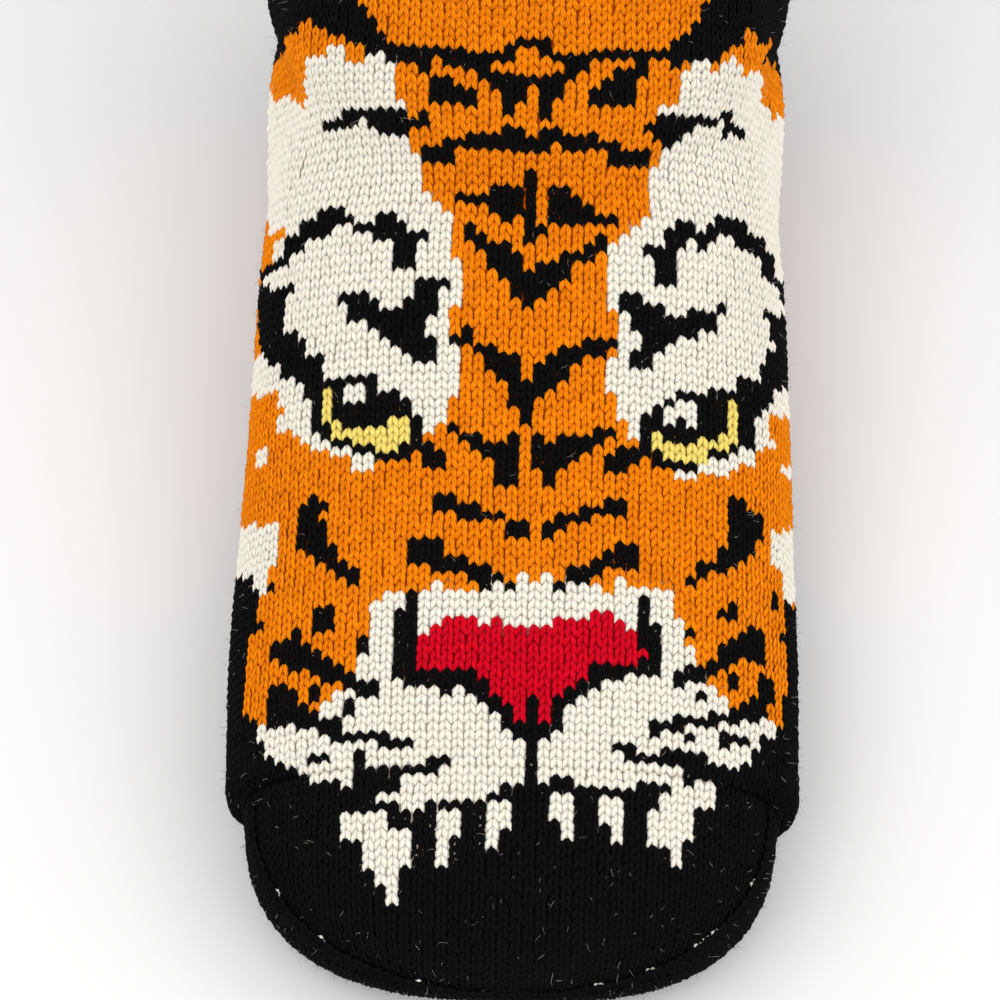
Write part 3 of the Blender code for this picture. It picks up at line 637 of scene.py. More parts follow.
        (13.7, 1.1), (13.6, -1.6), (13.1, -1.7), (13, -2.9), (12.4, -2.9), (12.4, -5.2), (11.4, -5.4),
        (10.9, -3.5), (9.9, -3.5)]),
    ("white", [(-7.8, 0.9), (-5.9, 0.9), (-5.7, -2.4), (-6.7, -2.6), (-6.7, -4.9), (-7.8, -5), (-7.8, -2)]),
    ("white", [(5.3, 2.4), (7.4, 2.6), (7.5, -1), (7.6, -3.1), (6.7, -3.1), (6.6, -0.9), (5.5, -0.9)]),
    ("white", [(-3.9, 1.8), (-1.9, 1.8), (-1.7, -1), (-2.6, -1.2), (-2.6, -3), (-3.7, -3.1), (-3.9, -1)]),
    ("white", [(1.4, 3), (3.3, 3.1), (3.5, -0.5), (3.4, -2.2), (2.5, -2.2), (2.4, -0.5), (1.5, -0.5)]),
]


def inside(shape, across, up):
    """Which points lie inside a closed shape."""
    hit = np.zeros(across.shape, bool)
    for (x0, y0), (x1, y1) in zip(shape, shape[1:] + shape[:1]):
        if y0 == y1:
            continue
        between = (y0 > up) != (y1 > up)
        hit ^= between & (across < x0 + (up - y0) * (x1 - x0) / (y1 - y0))
    return hit


def face_place(points):
    """Where points of the surface are in the face: wales from its middle and courses up."""
    tilt = math.radians(FACE_TILT)
    along, up = points[..., 1] - FACE_CENTRE[0], points[..., 2] - FACE_CENTRE[1]
    nearer = up * math.sin(tilt) - along * math.cos(tilt)
    size = FACE_DISTANCE / (FACE_DISTANCE - nearer)
    course = FACE_CENTRE_COURSE + (along * math.sin(tilt) + up * math.cos(tilt)) * size / FACE_COURSE
    drift = FACE_DRIFT - FACE_UNDRIFT * course
    wale = points[..., 0] * size / WALE - drift
    return wale, course - FACE_ROLL * wale


def face_yarn(points):
    """The yarn of each point of the face, as its place in YARN_ORDER."""
    wale, course = face_place(points)
    yarn = np.full(wale.shape, YARN_ORDER.index("orange"))
    for name, shape in FACE_SHAPES:
        yarn[inside(shape, wale, course)] = YARN_ORDER.index(name)
    return yarn


def facing_view(normals):
    """How far normals turn to the face's view: 1 is straight at it, and 0 is side on."""
    tilt = math.radians(FACE_TILT)
    return normals[..., 2] * math.sin(tilt) - normals[..., 1] * math.cos(tilt)


def yarn_of(points, normals, nodes):
    """The yarn of each point: the face in front, and plain zones elsewhere."""
    facing = facing_view(normals)
    yarn = np.full(facing.shape, YARN_ORDER.index("orange"))
    drawn = (facing > BACK_FACING) & np.isin(nodes, ("upper", "toe_pocket"))
    yarn[drawn] = face_yarn(points)[drawn]
    plain = np.isin(nodes, ("sole", "heel_pocket")) | ((nodes == "toe_pocket") & ~drawn)
    yarn[plain] = YARN_ORDER.index("black")
    return yarn


# Places of the stitches

def read_grid(grid, at, wale):
    """Points of the body grid at fractional rows."""
    place = np.clip(at / ROW_STEP, 0, len(grid) - 1.001)
    row = place.astype(int)
    part = (place - row)[:, None]
    wale = wale % grid.shape[1]
    return grid[row, wale] * (1 - part) + grid[row + 1, wale] * part


def course_places(path, rows, first, last, courses):
    """Fractional rows of the middles of courses along one wale, and the height of one course."""
    lengths = run_lengths(path)
    start, end = np.interp([first, last], rows, lengths)
    middles = start + (np.arange(courses) + 0.5) * (end - start) / courses
    return np.interp(middles, lengths, rows), np.full(courses, (end - start) / courses)


def body_stitches():
    """Stitches of the foot and leg: courses level along the foot, then short ones round the heel."""
    rows = np.arange(0, CUFF_ROW + ROW_STEP / 2, ROW_STEP)
    half = waled_half(half_rings(body_sections(rows)), np.arange(HALF_WALES) + 0.5)
    smooth = whole_rings(half, False)
    grid = smooth + outward(smooth, True) * creases(smooth)[..., None]
    found = []
    for wale in range(2 * HALF_WALES):
        path = grid[:, wale]
        behind = abs(wale - HALF_WALES + 0.5) / HALF_WALES
        lengths = run_lengths(path)
        length = lengths[-1] - np.interp(WAIST_ROW, rows, lengths)
        courses = round(length / (COURSE + (HEEL_COURSE - COURSE) * behind))
        for part in ((0, WAIST_ROW, FOOT_COURSES), (WAIST_ROW, CUFF_ROW, courses)):
            at, tall = course_places(path, rows, *part)
            found.append(np.stack([at, tall, np.full(len(at), wale)], axis=1))
    at, tall, wale = np.concatenate(found).T
    wale = wale.astype(int)
    point = read_grid(grid, at, wale)
    across = (read_grid(grid, at, wale + 1) - read_grid(grid, at, wale - 1)) / 2
    ahead = read_grid(grid, at + ROW_STEP, wale) - read_grid(grid, at - ROW_STEP, wale)
    return point, across, unit(ahead) * tall[:, None]


def toe_stitches():
    """Stitches of the toe: wales keep their distance from the middle and end at the toe's rim."""
    share = np.linspace(1.0, TOE_END, TOE_STEPS) ** 2
    rings = half_rings(toe_sections(share))
    middle = RING_STEPS // 2
    line = run_lengths(rings[0])
    distances = wale_distances(line[-1], np.arange(HALF_WALES) + 0.5)
    points, acrosses, alongs = [], [], []
    for distance in distances:
        on_top = distance < line[middle]
        path, side = [], []
        for ring in rings:
            lengths = run_lengths(ring)
            place = distance if on_top else lengths[-1] - (line[-1] - distance)
            if (place > lengths[middle]) == on_top:
                break
            path.append(points_at(ring, lengths, [place])[0])
            near = points_at(ring, lengths, [place - NEARBY, place + NEARBY])
            side.append(near[1] - near[0])
        path, side = np.array(path)[::-1], unit(np.array(side))[::-1]
        if len(path) < 3:
            continue
        lengths = run_lengths(path)
        courses = max(round(lengths[-1] / COURSE), 1)
        tall = lengths[-1] / courses
        middles = (np.arange(courses) + 0.5) * tall
        points.append(points_at(path, lengths, middles))
        acrosses.append(points_at(side, lengths, middles) * WALE)
        ahead = points_at(path, lengths, middles + tall / 4) - points_at(path, lengths, middles - tall / 4)
        alongs.append(unit(ahead) * tall)
    point, across, along = (np.concatenate(parts) for parts in (points, acrosses, alongs))
    flip = np.array([-1, 1, 1])
    return (
        np.concatenate([point, point * flip]),
        np.concatenate([across, across * -flip]),
        np.concatenate([along, along * flip]),
    )


def cuff_grid(shares, places):
    """Points of the ribbed band, at shares of its height and fractional wales round it."""
    turns = 2 * math.pi * places / (CUFF_RIBS * WALES_PER_RIB)
    return half_rings(cuff_sections(shares), turns)


def rib_rise(wale):
    """Two raised wales, then two sunk ones."""
    return np.where(wale % WALES_PER_RIB < WALES_PER_RIB / 2, RIB_RISE, -RIB_RISE)


def cuff_stitches():
    """Stitches of the ribbed band."""
    wales = np.arange(CUFF_RIBS * WALES_PER_RIB)
    shares = (np.arange(CUFF_COURSES) + 0.5) / CUFF_COURSES
    half_course = 0.5 / CUFF_COURSES
    middle = cuff_grid(shares, wales + 0.5)
    across = cuff_grid(shares, wales + 1.0) - cuff_grid(shares, wales)
    along = cuff_grid(shares + half_course, wales + 0.5) - cuff_grid(shares - half_course, wales + 0.5)
    point = middle + unit(np.cross(across, along)) * rib_rise(wales)[None, :, None]
    return tuple(part.reshape(-1, 3) for part in (point, across, along))


def collar_stitches():
    """The chain of stitches that closes the top of the ribbed band."""
    wales = np.arange(CUFF_RIBS * WALES_PER_RIB)
    top = np.array([1.0])
    point = cuff_grid(top, wales + 0.5)[0]
    along = cuff_grid(top, wales + 1.0)[0] - cuff_grid(top, wales)[0]
    up = unit(cuff_grid(top, wales + 0.5)[0] - cuff_grid(top - 0.1, wales + 0.5)[0])
    out = unit(np.cross(along, up))
    point = point - out * CHAIN_INSET + out * rib_rise(wales)[:, None] * CHAIN_RIB + up * CHAIN_RISE
    return point, -out * WALE, along


def toe_seam():
    """Stitches of the seam that closes the toe, from one shoulder round the tip to the other."""
    share = np.linspace(*SEAM_ENDS, SEAM_STEPS) ** 2
    rings = half_rings(toe_sections(share), SEAM_TURN + SEAM_SLIVER * np.array([-1, 0, 1]))
    flip = np.array([-1, 1, 1])
    lines = np.concatenate([rings * flip, rings[::-1]])
    lengths = run_lengths(lines[:, 1])
    places = np.arange(SEAM_COURSE, lengths[-1], SEAM_COURSE)
    above, point, below = (points_at(lines[:, column], lengths, places) for column in range(3))
    ahead = points_at(lines[:, 1], lengths, places + SEAM_COURSE / 2)
    along = ahead - points_at(lines[:, 1], lengths, places - SEAM_COURSE / 2)
    across = unit(above - below) * SEAM_WIDTH
    return point + unit(np.cross(across, along)) * SEAM_RISE, across, along


# Meshes

def deselect_all():
    bpy.ops.object.select_all(action="DESELECT")


def pick_points(mesh, test):
    """Selects the points of a mesh whose place passes the test."""
    for kind in (mesh.polygons, mesh.edges):
        kind.foreach_set("select", np.zeros(len(kind), bool))
    places = np.empty(len(mesh.vertices) * 3)
    mesh.vertices.foreach_get("co", places)
    mesh.vertices.foreach_set("select", test(places.reshape(-1, 3)))


def shift_level(piece, level, shift):
    """Moves the ring of points at one level of a leg."""
    pick_points(piece.data, lambda places: np.abs(places[:, 1] - level) < LEG_LEVEL)
    bpy.ops.object.mode_set(mode="EDIT")
    bpy.ops.transform.translate(value=shift)
    bpy.ops.object.mode_set(mode="OBJECT")


def stitch_leg(sides, levels, width, thickness):
    """One leg of a stitch: a spindle that leans to the middle at its top and dips at its ends."""
    deselect_all()
    bpy.ops.mesh.primitive_uv_sphere_add(segments=sides, ring_count=levels, radius=0.5)
    leg = bpy.context.active_object
    bpy.ops.object.mode_set(mode="EDIT")
    bpy.ops.mesh.select_all(action="SELECT")
    bpy.ops.transform.rotate(value=math.pi / 2, orient_axis="X", center_override=(0, 0, 0))
    bpy.ops.transform.resize(value=(width, LEG_LENGTH, thickness), center_override=(0, 0, 0))
    bpy.ops.object.mode_set(mode="OBJECT")
    pick_points(leg.data, lambda places: np.abs(places[:, 1]) > LEG_MIDDLE)
    bpy.ops.object.mode_set(mode="EDIT")
    bpy.ops.transform.resize(value=(LEG_TIP, 1, LEG_TIP), center_override=(0, 0, 0))
    bpy.ops.object.mode_set(mode="OBJECT")
    middle = (LEG_TOP_AT + LEG_FOOT_AT) / 2
    places = np.empty(len(leg.data.vertices) * 3)
    leg.data.vertices.foreach_get("co", places)
    for level in sorted(set(np.round(places.reshape(-1, 3)[:, 1], 3))):
        reach = level / (LEG_LENGTH / 2)
        lean = middle - reach * (LEG_FOOT_AT - LEG_TOP_AT) / 2
        shift_level(leg, level, (lean, 0, -LEG_DIP * reach**2))
    return leg


def shape_arrays(piece):
    """A small modelled shape as arrays: points, corner numbers, face starts and corner UVs."""
    mesh = piece.data
    points = np.empty(len(mesh.vertices) * 3)
    mesh.vertices.foreach_get("co", points)
    corners = np.empty(len(mesh.loops), int)
    mesh.loops.foreach_get("vertex_index", corners)
    starts = np.empty(len(mesh.polygons), int)
    mesh.polygons.foreach_get("loop_start", starts)
    spread = np.empty(len(mesh.loops) * 2)
    mesh.uv_layers[0].data.foreach_get("uv", spread)
    bpy.data.objects.remove(piece)
    return points.reshape(-1, 3), corners, starts, spread.reshape(-1, 2)


def leg_shapes(fullness):
    """The leg of one yarn for each zone of the knit."""
    shapes = {}
    for zone, (sides, levels, plump) in LEG_KINDS.items():
        leg = stitch_leg(sides, levels, LEG_WIDTH * plump * fullness, LEG_THICKNESS * plump)
        shapes[zone] = shape_arrays(leg)
    return shapes


def mirrored_shape(shape):
    """The same small shape on the other side of the middle line."""
    points, corners, starts, spread = shape
    ends = np.append(starts[1:], len(corners))
    order = np.concatenate([np.arange(start, end)[::-1] for start, end in zip(starts, ends)])
    return points * np.array([-1, 1, 1]), corners[order], starts, spread[order]


def copies(name, shape, frames, tones, material):
    """One mesh of many copies of a small shape, each in its own frame of origin and three axes."""
    points, corners, starts, spread = shape
    origin, across, along, out = frames
    count = len(origin)
    placed = origin[:, None] + points[None, :, :1] * across[:, None]
    placed = placed + points[None, :, 1:2] * along[:, None] + points[None, :, 2:] * out[:, None]
    placed[..., 2] = np.maximum(placed[..., 2], FLOOR_GAP)
    mesh = bpy.data.meshes.new(name)
    mesh.vertices.add(count * len(points))
    mesh.vertices.foreach_set("co", (placed * MM).ravel())
    mesh.loops.add(count * len(corners))
    numbers = corners[None] + np.arange(count)[:, None] * len(points)
    mesh.loops.foreach_set("vertex_index", numbers.ravel().astype(np.int32))
    mesh.polygons.add(count * len(starts))
    firsts = starts[None] + np.arange(count)[:, None] * len(corners)
    mesh.polygons.foreach_set("loop_start", firsts.ravel().astype(np.int32))
    mesh.update(calc_edges=True)
    side = math.ceil(math.sqrt(count))
    tile = np.stack([np.arange(count) % side, np.arange(count) // side], axis=1)
    tiled = (tile[:, None] + TILE_EDGE + (1 - 2 * TILE_EDGE) * spread[None]) / side
    mesh.uv_layers.new(name="OFBake").data.foreach_set("uv", tiled.ravel().astype(np.float32))
    whole = np.repeat(spread[None], count, axis=0)
    mesh.uv_layers.new(name="yarn").data.foreach_set("uv", whole.ravel().astype(np.float32))
    tone = mesh.attributes.new("tone", "FLOAT", "POINT")
    tone.data.foreach_set("value", np.repeat(tones, len(points)).astype(np.float32))
    mesh.shade_smooth()
    mesh.materials.append(material)
    piece = bpy.data.objects.new(name, mesh)
    bpy.context.scene.collection.objects.link(piece)
    return piece


def stitches(name, legs, places, material):
    """A field of stitches: one mesh of left legs and one of right legs."""
    point, across, along = places
    out = unit(np.cross(across, along))
    count = len(point)
    sway = chance.normal(0, 1, (len(SWAY), count, 1)).clip(-2, 2)
    aside, ahead, lift, wider, lean = sway * np.array(SWAY)[:, None, None]
    origin = point + across * aside + along * ahead + out * (lift - STITCH_DEPTH)
    frames = (origin, across * (1 + wider), along + across * lean, out)
    tones = chance.random(count)
    for side, shape in (("_l", legs), ("_r", mirrored_shape(legs))):
        half = copies(name + side, shape, frames, tones, material)
        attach(half, "root")


def seam_flecks(legs, places, material):
    """Short ends of pale yarn that show here and there along a seam."""
    shown = chance.random(len(places[0])) < FLECK_SHARE
    point, across, along = picked(places, shown)
    out = unit(np.cross(across, along))
    wide, tall, thick = FLECK_SIZE
    frames = (point, across * wide, along * tall, out * thick)
    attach(copies("toe_seam_flecks", legs, frames, chance.random(len(point)), material), "root")


# Walls behind the stitches, their outer colour painted shade between the stitches

def wall_grid():
    """Rings of the whole wall from the toe tip to the cuff line, with their mid lines shared."""
    toe = toe_sections((np.arange(TOE_WALL_ROWS) / TOE_WALL_ROWS) ** TOE_WALL_CROWDING)
    body = body_sections(np.arange(0, CUFF_ROW + WALL_ROW_STEP / 2, WALL_ROW_STEP))
    rings = half_rings(np.concatenate([toe, body]))
    places = np.arange(HALF_WALES + 1.0)
    rows = []
    for ring in rings:
        lengths = run_lengths(ring)
        full = max(lengths[-1], 1e-6)
        even = max(full, SHORT_RING)
        rows.append(points_at(ring, lengths, wale_distances(even, places) * full / even))
    return whole_rings(np.array(rows), True)


def grid_piece(name, points):
    """A sheet of faces through a grid of points."""
    deselect_all()
    rows, columns = points.shape[:2]
    bpy.ops.mesh.primitive_grid_add(x_subdivisions=columns - 1, y_subdivisions=rows - 1, size=1)
    piece = bpy.context.active_object
    piece.name = name
    piece.data.name = name
    piece.data.vertices.foreach_set("co", (points * MM).ravel())
    piece.data.update()
    return piece


def keep_faces(piece, keep):
    """Deletes the faces of a sheet that aren't kept, and joins its edges where they meet."""
    bpy.context.tool_settings.mesh_select_mode = (False, False, True)
    for kind in (piece.data.vertices, piece.data.edges):
        kind.foreach_set("select", np.zeros(len(kind), bool))
    piece.data.polygons.foreach_set("select", ~keep)
    bpy.ops.object.mode_set(mode="EDIT")
    bpy.ops.mesh.delete(type="FACE")
    bpy.ops.mesh.select_mode(type="VERT")
    bpy.ops.mesh.select_all(action="SELECT")
    bpy.ops.mesh.remove_doubles(threshold=JOIN_DISTANCE * MM)
    bpy.ops.object.mode_set(mode="OBJECT")


def thicken(piece, outside, inside_material, thickness):
    """Gives a sheet its thickness inwards, with the lining on its inner face."""
    piece.data.materials.append(outside)
    piece.data.materials.append(inside_material)
    bpy.ops.object.modifier_add(type="SOLIDIFY")
    wall = piece.modifiers[-1]
    wall.thickness = thickness * MM
    wall.offset = -1.0
    wall.material_offset = 1
    bpy.ops.object.modifier_apply(modifier=wall.name)
    bpy.ops.object.shade_smooth()


def ground_colours(piece, yarn):
    """Keeps the yarn over each point of a sheet as the sheet's colour, in its darker tone of painted shade.
    """
    layer = piece.data.attributes.new("ground", "FLOAT_COLOR", "POINT")
    table = np.array([linear(SHADED_YARNS[name]) for name in YARN_ORDER])
    layer.data.foreach_set("color", table[yarn].ravel().astype(np.float32))


def wall_piece(name, node, points, yarn, keep, ground, lining):
    """The wall behind one zone of stitches, which stands for that solid."""
    piece = grid_piece(name, points)
    ground_colours(piece, yarn.ravel())
    keep_faces(piece, keep.ravel())
    thicken(piece, ground, lining, CUFF_THICKNESS if node == "cuff" else WALL_THICKNESS)
    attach(piece, "root")
    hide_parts(node)


def body_walls(ground, lining):
    """The walls of the upper, sole, toe and heel."""
    smooth = wall_grid()
    normals = outward(smooth, False)
    normals[0] = (0, -1, 0)
    surface = smooth + normals * creases(smooth)[..., None]
    points = surface - normals * WALL_DEPTH
    yarn = yarn_of(surface, normals, node_of(smooth))
    middles = (smooth[:-1, :-1] + smooth[1:, :-1] + smooth[:-1, 1:] + smooth[1:, 1:]) / 4
    zones = node_of(middles)
    for node in ("upper", "sole", "toe_pocket", "heel_pocket"):
        wall_piece(node + "_wall", node, points, yarn, zones == node, ground, lining)


def cuff_wall(ground, lining):
    """The wall of the ribbed band, raised only in the middle of each rib."""
    count = CUFF_RIBS * WALES_PER_RIB
    wales = np.arange(count + 1)
    grid = cuff_grid(np.linspace(0, COLLAR_REACH, CUFF_WALL_ROWS), wales.astype(float))
    normals = outward(grid, False)
    rise = np.minimum(rib_rise(wales), rib_rise(wales + count - 1))
    points = grid - normals * (WALL_DEPTH - WALL_RIB * rise[None, :, None])
    points[:, -1] = points[:, 0]
    yarn = np.full(points.shape[:2], YARN_ORDER.index("orange"))
    keep = np.ones((len(points) - 1, count), bool)
    wall_piece("cuff_wall", "cuff", points, yarn, keep, ground, lining)


# Fuzz

def fibre_shape():
    """One loose fibre: a thin three-sided spike with a bend."""
    deselect_all()
    bpy.ops.mesh.primitive_cone_add(
        vertices=3, radius1=0.5, radius2=0.4, depth=0.5, end_fill_type="NOTHING", location=(0, 0, 0.25)
    )
    fibre = bpy.context.active_object
    bpy.ops.object.transform_apply()
    pick_points(fibre.data, lambda places: places[:, 2] > 0.4)
    bpy.ops.object.mode_set(mode="EDIT")
    bpy.ops.mesh.extrude_region_move(TRANSFORM_OT_translate={"value": (6, 0, 0.25)})
    bpy.ops.mesh.merge(type="CENTER")
    bpy.ops.object.mode_set(mode="OBJECT")
    return fibre


def fuzz(name, shape, places, count, material):
    """Loose fibres that stand out of a field of stitches."""
    point, across, along = places
    chosen = chance.integers(0, len(point), count)
    out = unit(np.cross(across, along))[chosen]
    turn = chance.random((count, 1)) * 2 * math.pi
    side = unit(across)[chosen] * np.cos(turn) + unit(along)[chosen] * np.sin(turn)
    start = point[chosen] + across[chosen] * chance.normal(0, FIBRE_SPREAD, (count, 1))
    start = start + along[chosen] * chance.normal(0, FIBRE_SPREAD, (count, 1)) - out * FIBRE_ROOT
    length = chance.gamma(*FIBRE_LENGTHS, (count, 1)) + FIBRE_SHORTEST
    rise = unit(out + side * chance.normal(*FIBRE_LEAN, (count, 1)))
    bend = unit(np.cross(rise, side))
    frames = (start, bend * FIBRE_WIDTH, np.cross(rise, bend) * FIBRE_WIDTH, rise * length)
    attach(copies(name, shape, frames, chance.random(count), material), "root")


# Materials

def add(tree, kind, **values):
    """A node with some of its inputs set."""
    node = tree.nodes.new("ShaderNode" + kind)
    for key, value in values.items():
        socket = key.replace("_", " ")
        if socket in node.inputs:
            node.inputs[socket].default_value = value
        else:
            setattr(node, key, value)
    return node


def maths(tree, operation, first, second):
    """One arithmetic step on two sockets or numbers."""
    node = tree.nodes.new("ShaderNodeMath")
    node.operation = operation
    for slot, value in zip(node.inputs, (first, second)):
        if isinstance(value, (int, float)):
            slot.default_value = value
        else:
            tree.links.new(value, slot)
    return node.outputs[0]


def weighted(tree, parts):
    """A sum of sockets, each times its weight."""
    total = 0.0
    for socket, weight in parts:
        total = maths(tree, "ADD", maths(tree, "MULTIPLY", socket, weight), total)
    return total


def mixed(tree, share, first, second):
    """A colour between two colours."""
    node = tree.nodes.new("ShaderNodeMix")
    node.data_type = "RGBA"
    tree.links.new(share, node.inputs["Factor"])
    for slot, value in zip((node.inputs[6], node.inputs[7]), (first, second)):
        if isinstance(value, list):
            slot.default_value = value
        else:
            tree.links.new(value, slot)
    return node.outputs[2]


def shaded(tree, colour, light):
    """A colour darkened as painted shade, most where the value it is given is low."""
    node = tree.nodes.new("ShaderNodeHueSaturation")
    tree.links.new(colour, node.inputs["Color"])
    value = maths(tree, "ADD", maths(tree, "MULTIPLY", light, GROUND_SHADE_RANGE), GROUND_SHADE_DARKEST)
    tree.links.new(value, node.inputs["Value"])
    return node.outputs[0]


def matt(name, roughness, sheen):
    """A matt material and its shader."""
    material = bpy.data.materials.new(name)
    material.use_nodes = True
    shader = material.node_tree.nodes["Principled BSDF"]
    shader.inputs["Roughness"].default_value = roughness
    shader.inputs["Specular IOR Level"].default_value = 0.08
    shader.inputs["Sheen Weight"].default_value = sheen
    shader.inputs["Sheen Roughness"].default_value = 0.5
    return material, shader


def bumped(tree, shader, height, distance, strength):
    """Joins a height to a shader's normal."""
    bump = add(tree, "Bump", Distance=distance, Strength=strength)
    tree.links.new(height, bump.inputs["Height"])
    tree.links.new(bump.outputs[0], shader.inputs["Normal"])


def yarn_material(name):
    """Two-ply wool: the plies turn round each leg, fibres fleck it and no two stitches are alike."""
    material, shader = matt(name + "_wool", roughness=0.9, sheen=HALO[name])
    shader.inputs["Sheen Tint"].default_value = linear(YARNS[name])
    shader.inputs["Subsurface Weight"].default_value = SOAK[name]
    shader.inputs["Subsurface Radius"].default_value = (1.0, 0.8, 0.7)
    shader.inputs["Subsurface Scale"].default_value = SOAK_DEPTH * MM
    tree = material.node_tree
    spread = add(tree, "UVMap", uv_map="yarn")
    parts = add(tree, "SeparateXYZ")
    tree.links.new(spread.outputs[0], parts.inputs[0])
    turned = weighted(tree, ((parts.outputs[0], PLY_TURNS), (parts.outputs[1], PLY_CLIMB)))
    wave = maths(tree, "SINE", maths(tree, "MULTIPLY", turned, 2 * math.pi), 0)
    ply = maths(tree, "MULTIPLY_ADD", wave, 0.5)
    ply.node.inputs[2].default_value = 0.5
    place = add(tree, "TexCoord")
    fleck = add(tree, "TexNoise", Scale=FIBRE_SCALE, Detail=3.0)
    shade = add(tree, "TexNoise", Scale=SHADE_SCALE, Detail=2.0)
    for noise in (fleck, shade):
        tree.links.new(place.outputs["Object"], noise.inputs["Vector"])
    tone = add(tree, "Attribute", attribute_name="tone")
    stray = ((tone.outputs["Fac"], 0.2), (shade.outputs[0], 0.2))
    # The mix runs from painted shade to the lit yarn colour: the ply wave paints a highlight on each ply
    # and shade in the grooves between plies, and the flecks, tones and noise vary it at random
    light = weighted(tree, ((ply, 0.5), (fleck.outputs[0], 0.5), *stray))
    colour = mixed(tree, light, linear(SHADED_YARNS[name]), linear(YARNS[name]))
    tree.links.new(colour, shader.inputs["Base Color"])
    height = weighted(tree, ((ply, 0.6), (fleck.outputs[0], 0.6)))
    bumped(tree, shader, height, PLY_HEIGHT * MM, PLY_DEPTH[name])
    return material


def ground_material():
    """The yarn between the stitches, darkened with mottled painted shade."""
    material, shader = matt("knit_ground", roughness=0.95, sheen=0.0)
    tree = material.node_tree
    colour = add(tree, "Attribute", attribute_name="ground")
    place = add(tree, "TexCoord")
    noise = add(tree, "TexNoise", Scale=GROUND_SCALE, Detail=3.0)
    tree.links.new(place.outputs["Object"], noise.inputs["Vector"])
    tree.links.new(shaded(tree, colour.outputs["Color"], noise.outputs[0]), shader.inputs["Base Color"])
    bumped(tree, shader, noise.outputs[0], GROUND_HEIGHT * MM, 0.8)
    return material


def lining_material():
    """Off-white brushed fleece inside the sock."""
    material, shader = matt("fleece_lining", roughness=0.95, sheen=0.4)
    tree = material.node_tree
    place = add(tree, "TexCoord")
    curls = add(tree, "TexNoise", Scale=CURL_SCALE, Detail=5.0, Roughness=0.7)
    clumps = add(tree, "TexVoronoi", Scale=CLUMP_SCALE)
    for noise in (curls, clumps):
        tree.links.new(place.outputs["Object"], noise.inputs["Vector"])
    height = maths(tree, "ADD", curls.outputs[0], clumps.outputs["Distance"])
    colour = mixed(tree, curls.outputs[0], linear(FLEECE[0]), linear(FLEECE[1]))
    tree.links.new(colour, shader.inputs["Base Color"])
    bumped(tree, shader, height, LINING_HEIGHT * MM, 0.8)
    return material


def floor_material():
    """Pale matt paper."""
    material, shader = matt("pale_paper", roughness=0.9, sheen=0.0)
    tree = material.node_tree
    place = add(tree, "TexCoord")
    noise = add(tree, "TexNoise", Scale=PAPER_SCALE)
    tree.links.new(place.outputs["Object"], noise.inputs["Vector"])
    colour = mixed(tree, noise.outputs[0], *PAPER)
    tree.links.new(colour, shader.inputs["Base Color"])
    return material


# Camera, light and floor

def camera():
    """The view from in front and above, with the leg running out of the top of the picture."""
    tilt = math.radians(FACE_TILT)
    aim = np.array([0.0, FACE_CENTRE[0], FACE_CENTRE[1]])
    view_up = np.array([0.0, math.sin(tilt), math.cos(tilt)])
    aim = aim + np.array([CAMERA_AIM[0], 0, 0]) + view_up * CAMERA_AIM[1]
    eye = aim + FACE_DISTANCE * np.array([0.0, -math.cos(tilt), math.sin(tilt)])
    data = bpy.data.cameras.new("camera")
    data.sensor_width = CAMERA_SENSOR
    data.lens = CAMERA_LENS
    data.clip_start = 0.05
    view = bpy.data.objects.new("camera", data)
    bpy.context.scene.collection.objects.link(view)
    view.location = eye * MM
    view.rotation_euler = (math.pi / 2 - tilt, 0, 0)
    view.rotation_euler.rotate_axis("Z", math.radians(CAMERA_ROLL))
    bpy.context.scene.camera = view


def soft_light(name, place, size, power):
    """A large square light that faces the sock."""
    data = bpy.data.lights.new(name, "AREA")
    data.shape = "SQUARE"
    data.size = size
    data.energy = power
    light = bpy.data.objects.new(name, data)
    bpy.context.scene.collection.objects.link(light)
    light.location = place
    aim = np.array(LIGHT_AIM) - np.array(place)
    tip = math.atan2(math.hypot(aim[0], aim[1]), -aim[2])
    turn = math.atan2(aim[1], aim[0]) - math.pi / 2
    light.rotation_euler = (tip, 0, turn)


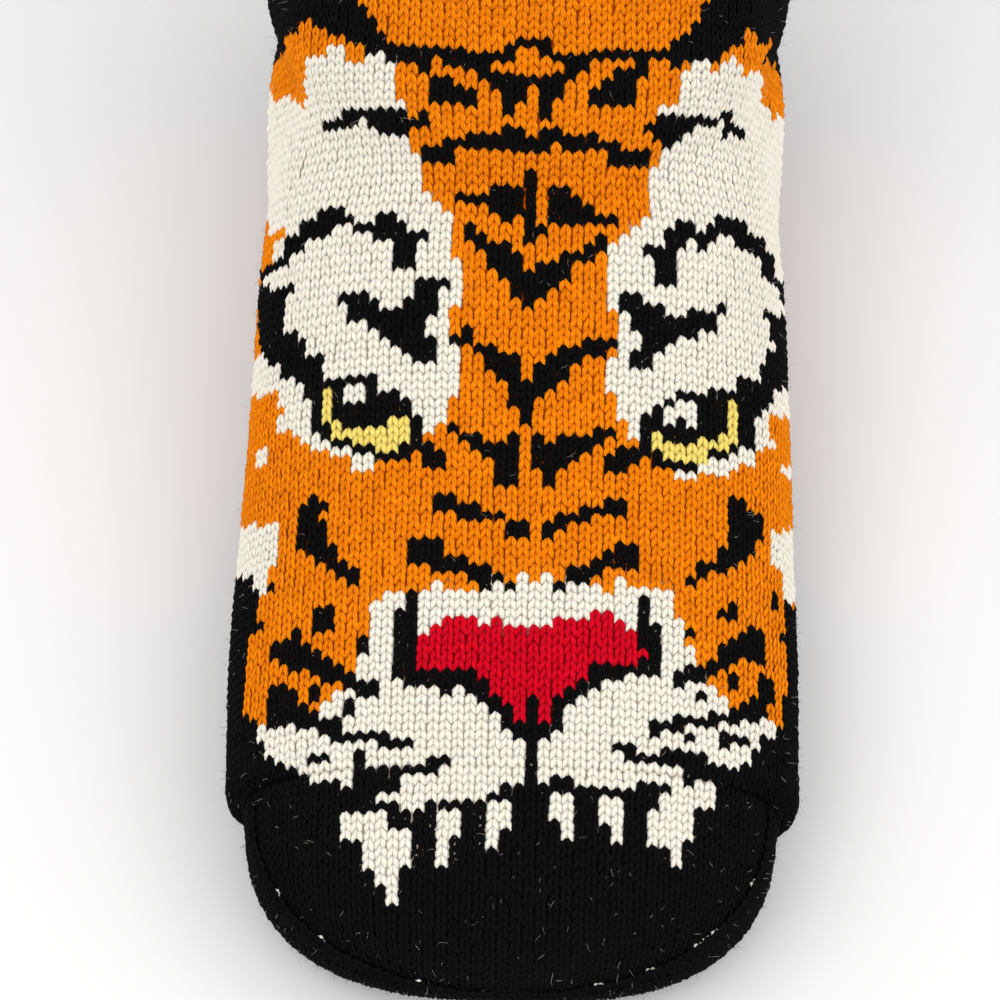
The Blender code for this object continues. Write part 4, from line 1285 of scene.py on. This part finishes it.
def studio():
    """A pale floor under soft light from both sides."""
    deselect_all()
    bpy.ops.mesh.primitive_plane_add(size=FLOOR_SIZE)
    floor = bpy.context.active_object
    floor.name = "floor"
    floor.data.materials.append(floor_material())
    for name, (place, size, power) in LIGHTS.items():
        soft_light(name, place, size, power)
    world = bpy.data.worlds.new("studio")
    world.use_nodes = True
    sky = world.node_tree.nodes["Background"]
    sky.inputs["Color"].default_value = (1.0, 1.0, 1.0, 1.0)
    sky.inputs["Strength"].default_value = SKY_STRENGTH
    bpy.context.scene.world = world
    bpy.context.scene.view_settings.view_transform = "Standard"


def picked(places, chosen):
    """Some of the stitches of a field."""
    return tuple(part[chosen] for part in places)


def zone_of(points, normals):
    """Front for the face, side for the rest of the leg and the sides, back for what turns away."""
    facing = facing_view(normals)
    zone = np.full(facing.shape, "front")
    zone[(facing < SIDE_FACING) | (face_place(points)[1] > FACE_TOP)] = "side"
    zone[facing < BACK_FACING] = "back"
    zone[(facing < 0) & (points[:, 2] < UNDERSIDE)] = "back"
    return zone


def knit():
    """All the stitches, by zone and yarn, and the fuzz on them."""
    wools = {name: yarn_material(name) for name in YARNS}
    shapes = {name: leg_shapes(FULLNESS[name]) for name in YARNS}
    parts = zip(body_stitches(), toe_stitches())
    places = tuple(np.concatenate(pair) for pair in parts)
    point, across, along = places
    out = unit(np.cross(across, along))
    nodes = node_of(point)
    yarn = yarn_of(point, out, nodes)
    side = zone_of(point, out)
    for name in YARNS:
        for node in ("upper", "toe_pocket", "sole", "heel_pocket"):
            for zone, legs in shapes[name].items():
                chosen = (yarn == YARN_ORDER.index(name)) & (nodes == node) & (side == zone)
                if chosen.any():
                    label = f"{node}_{name}_{zone}_stitches"
                    stitches(label, legs, picked(places, chosen), wools[name])
    stitches("cuff_stitches", shapes["orange"]["side"], cuff_stitches(), wools["orange"])
    stitches("collar_chain", shapes["orange"]["front"], collar_stitches(), wools["orange"])
    seam = toe_seam()
    stitches("toe_seam_stitches", shapes["black"]["side"], seam, wools["black"])
    seam_flecks(shapes["white"]["back"], seam, wools["white"])
    spike = shape_arrays(fibre_shape())
    for name, count in FUZZ_COUNTS.items():
        chosen = yarn == YARN_ORDER.index(name)
        fuzz(name + "_fuzz", spike, picked(places, chosen), count, wools[name])
    chosen = (yarn == YARN_ORDER.index("black")) & (side == "front")
    fuzz("pale_lint", spike, picked(places, chosen), LINT_COUNT, wools["white"])


camera()
studio()
ground_wool = ground_material()
fleece = lining_material()
body_walls(ground_wool, fleece)
cuff_wall(ground_wool, fleece)
knit()
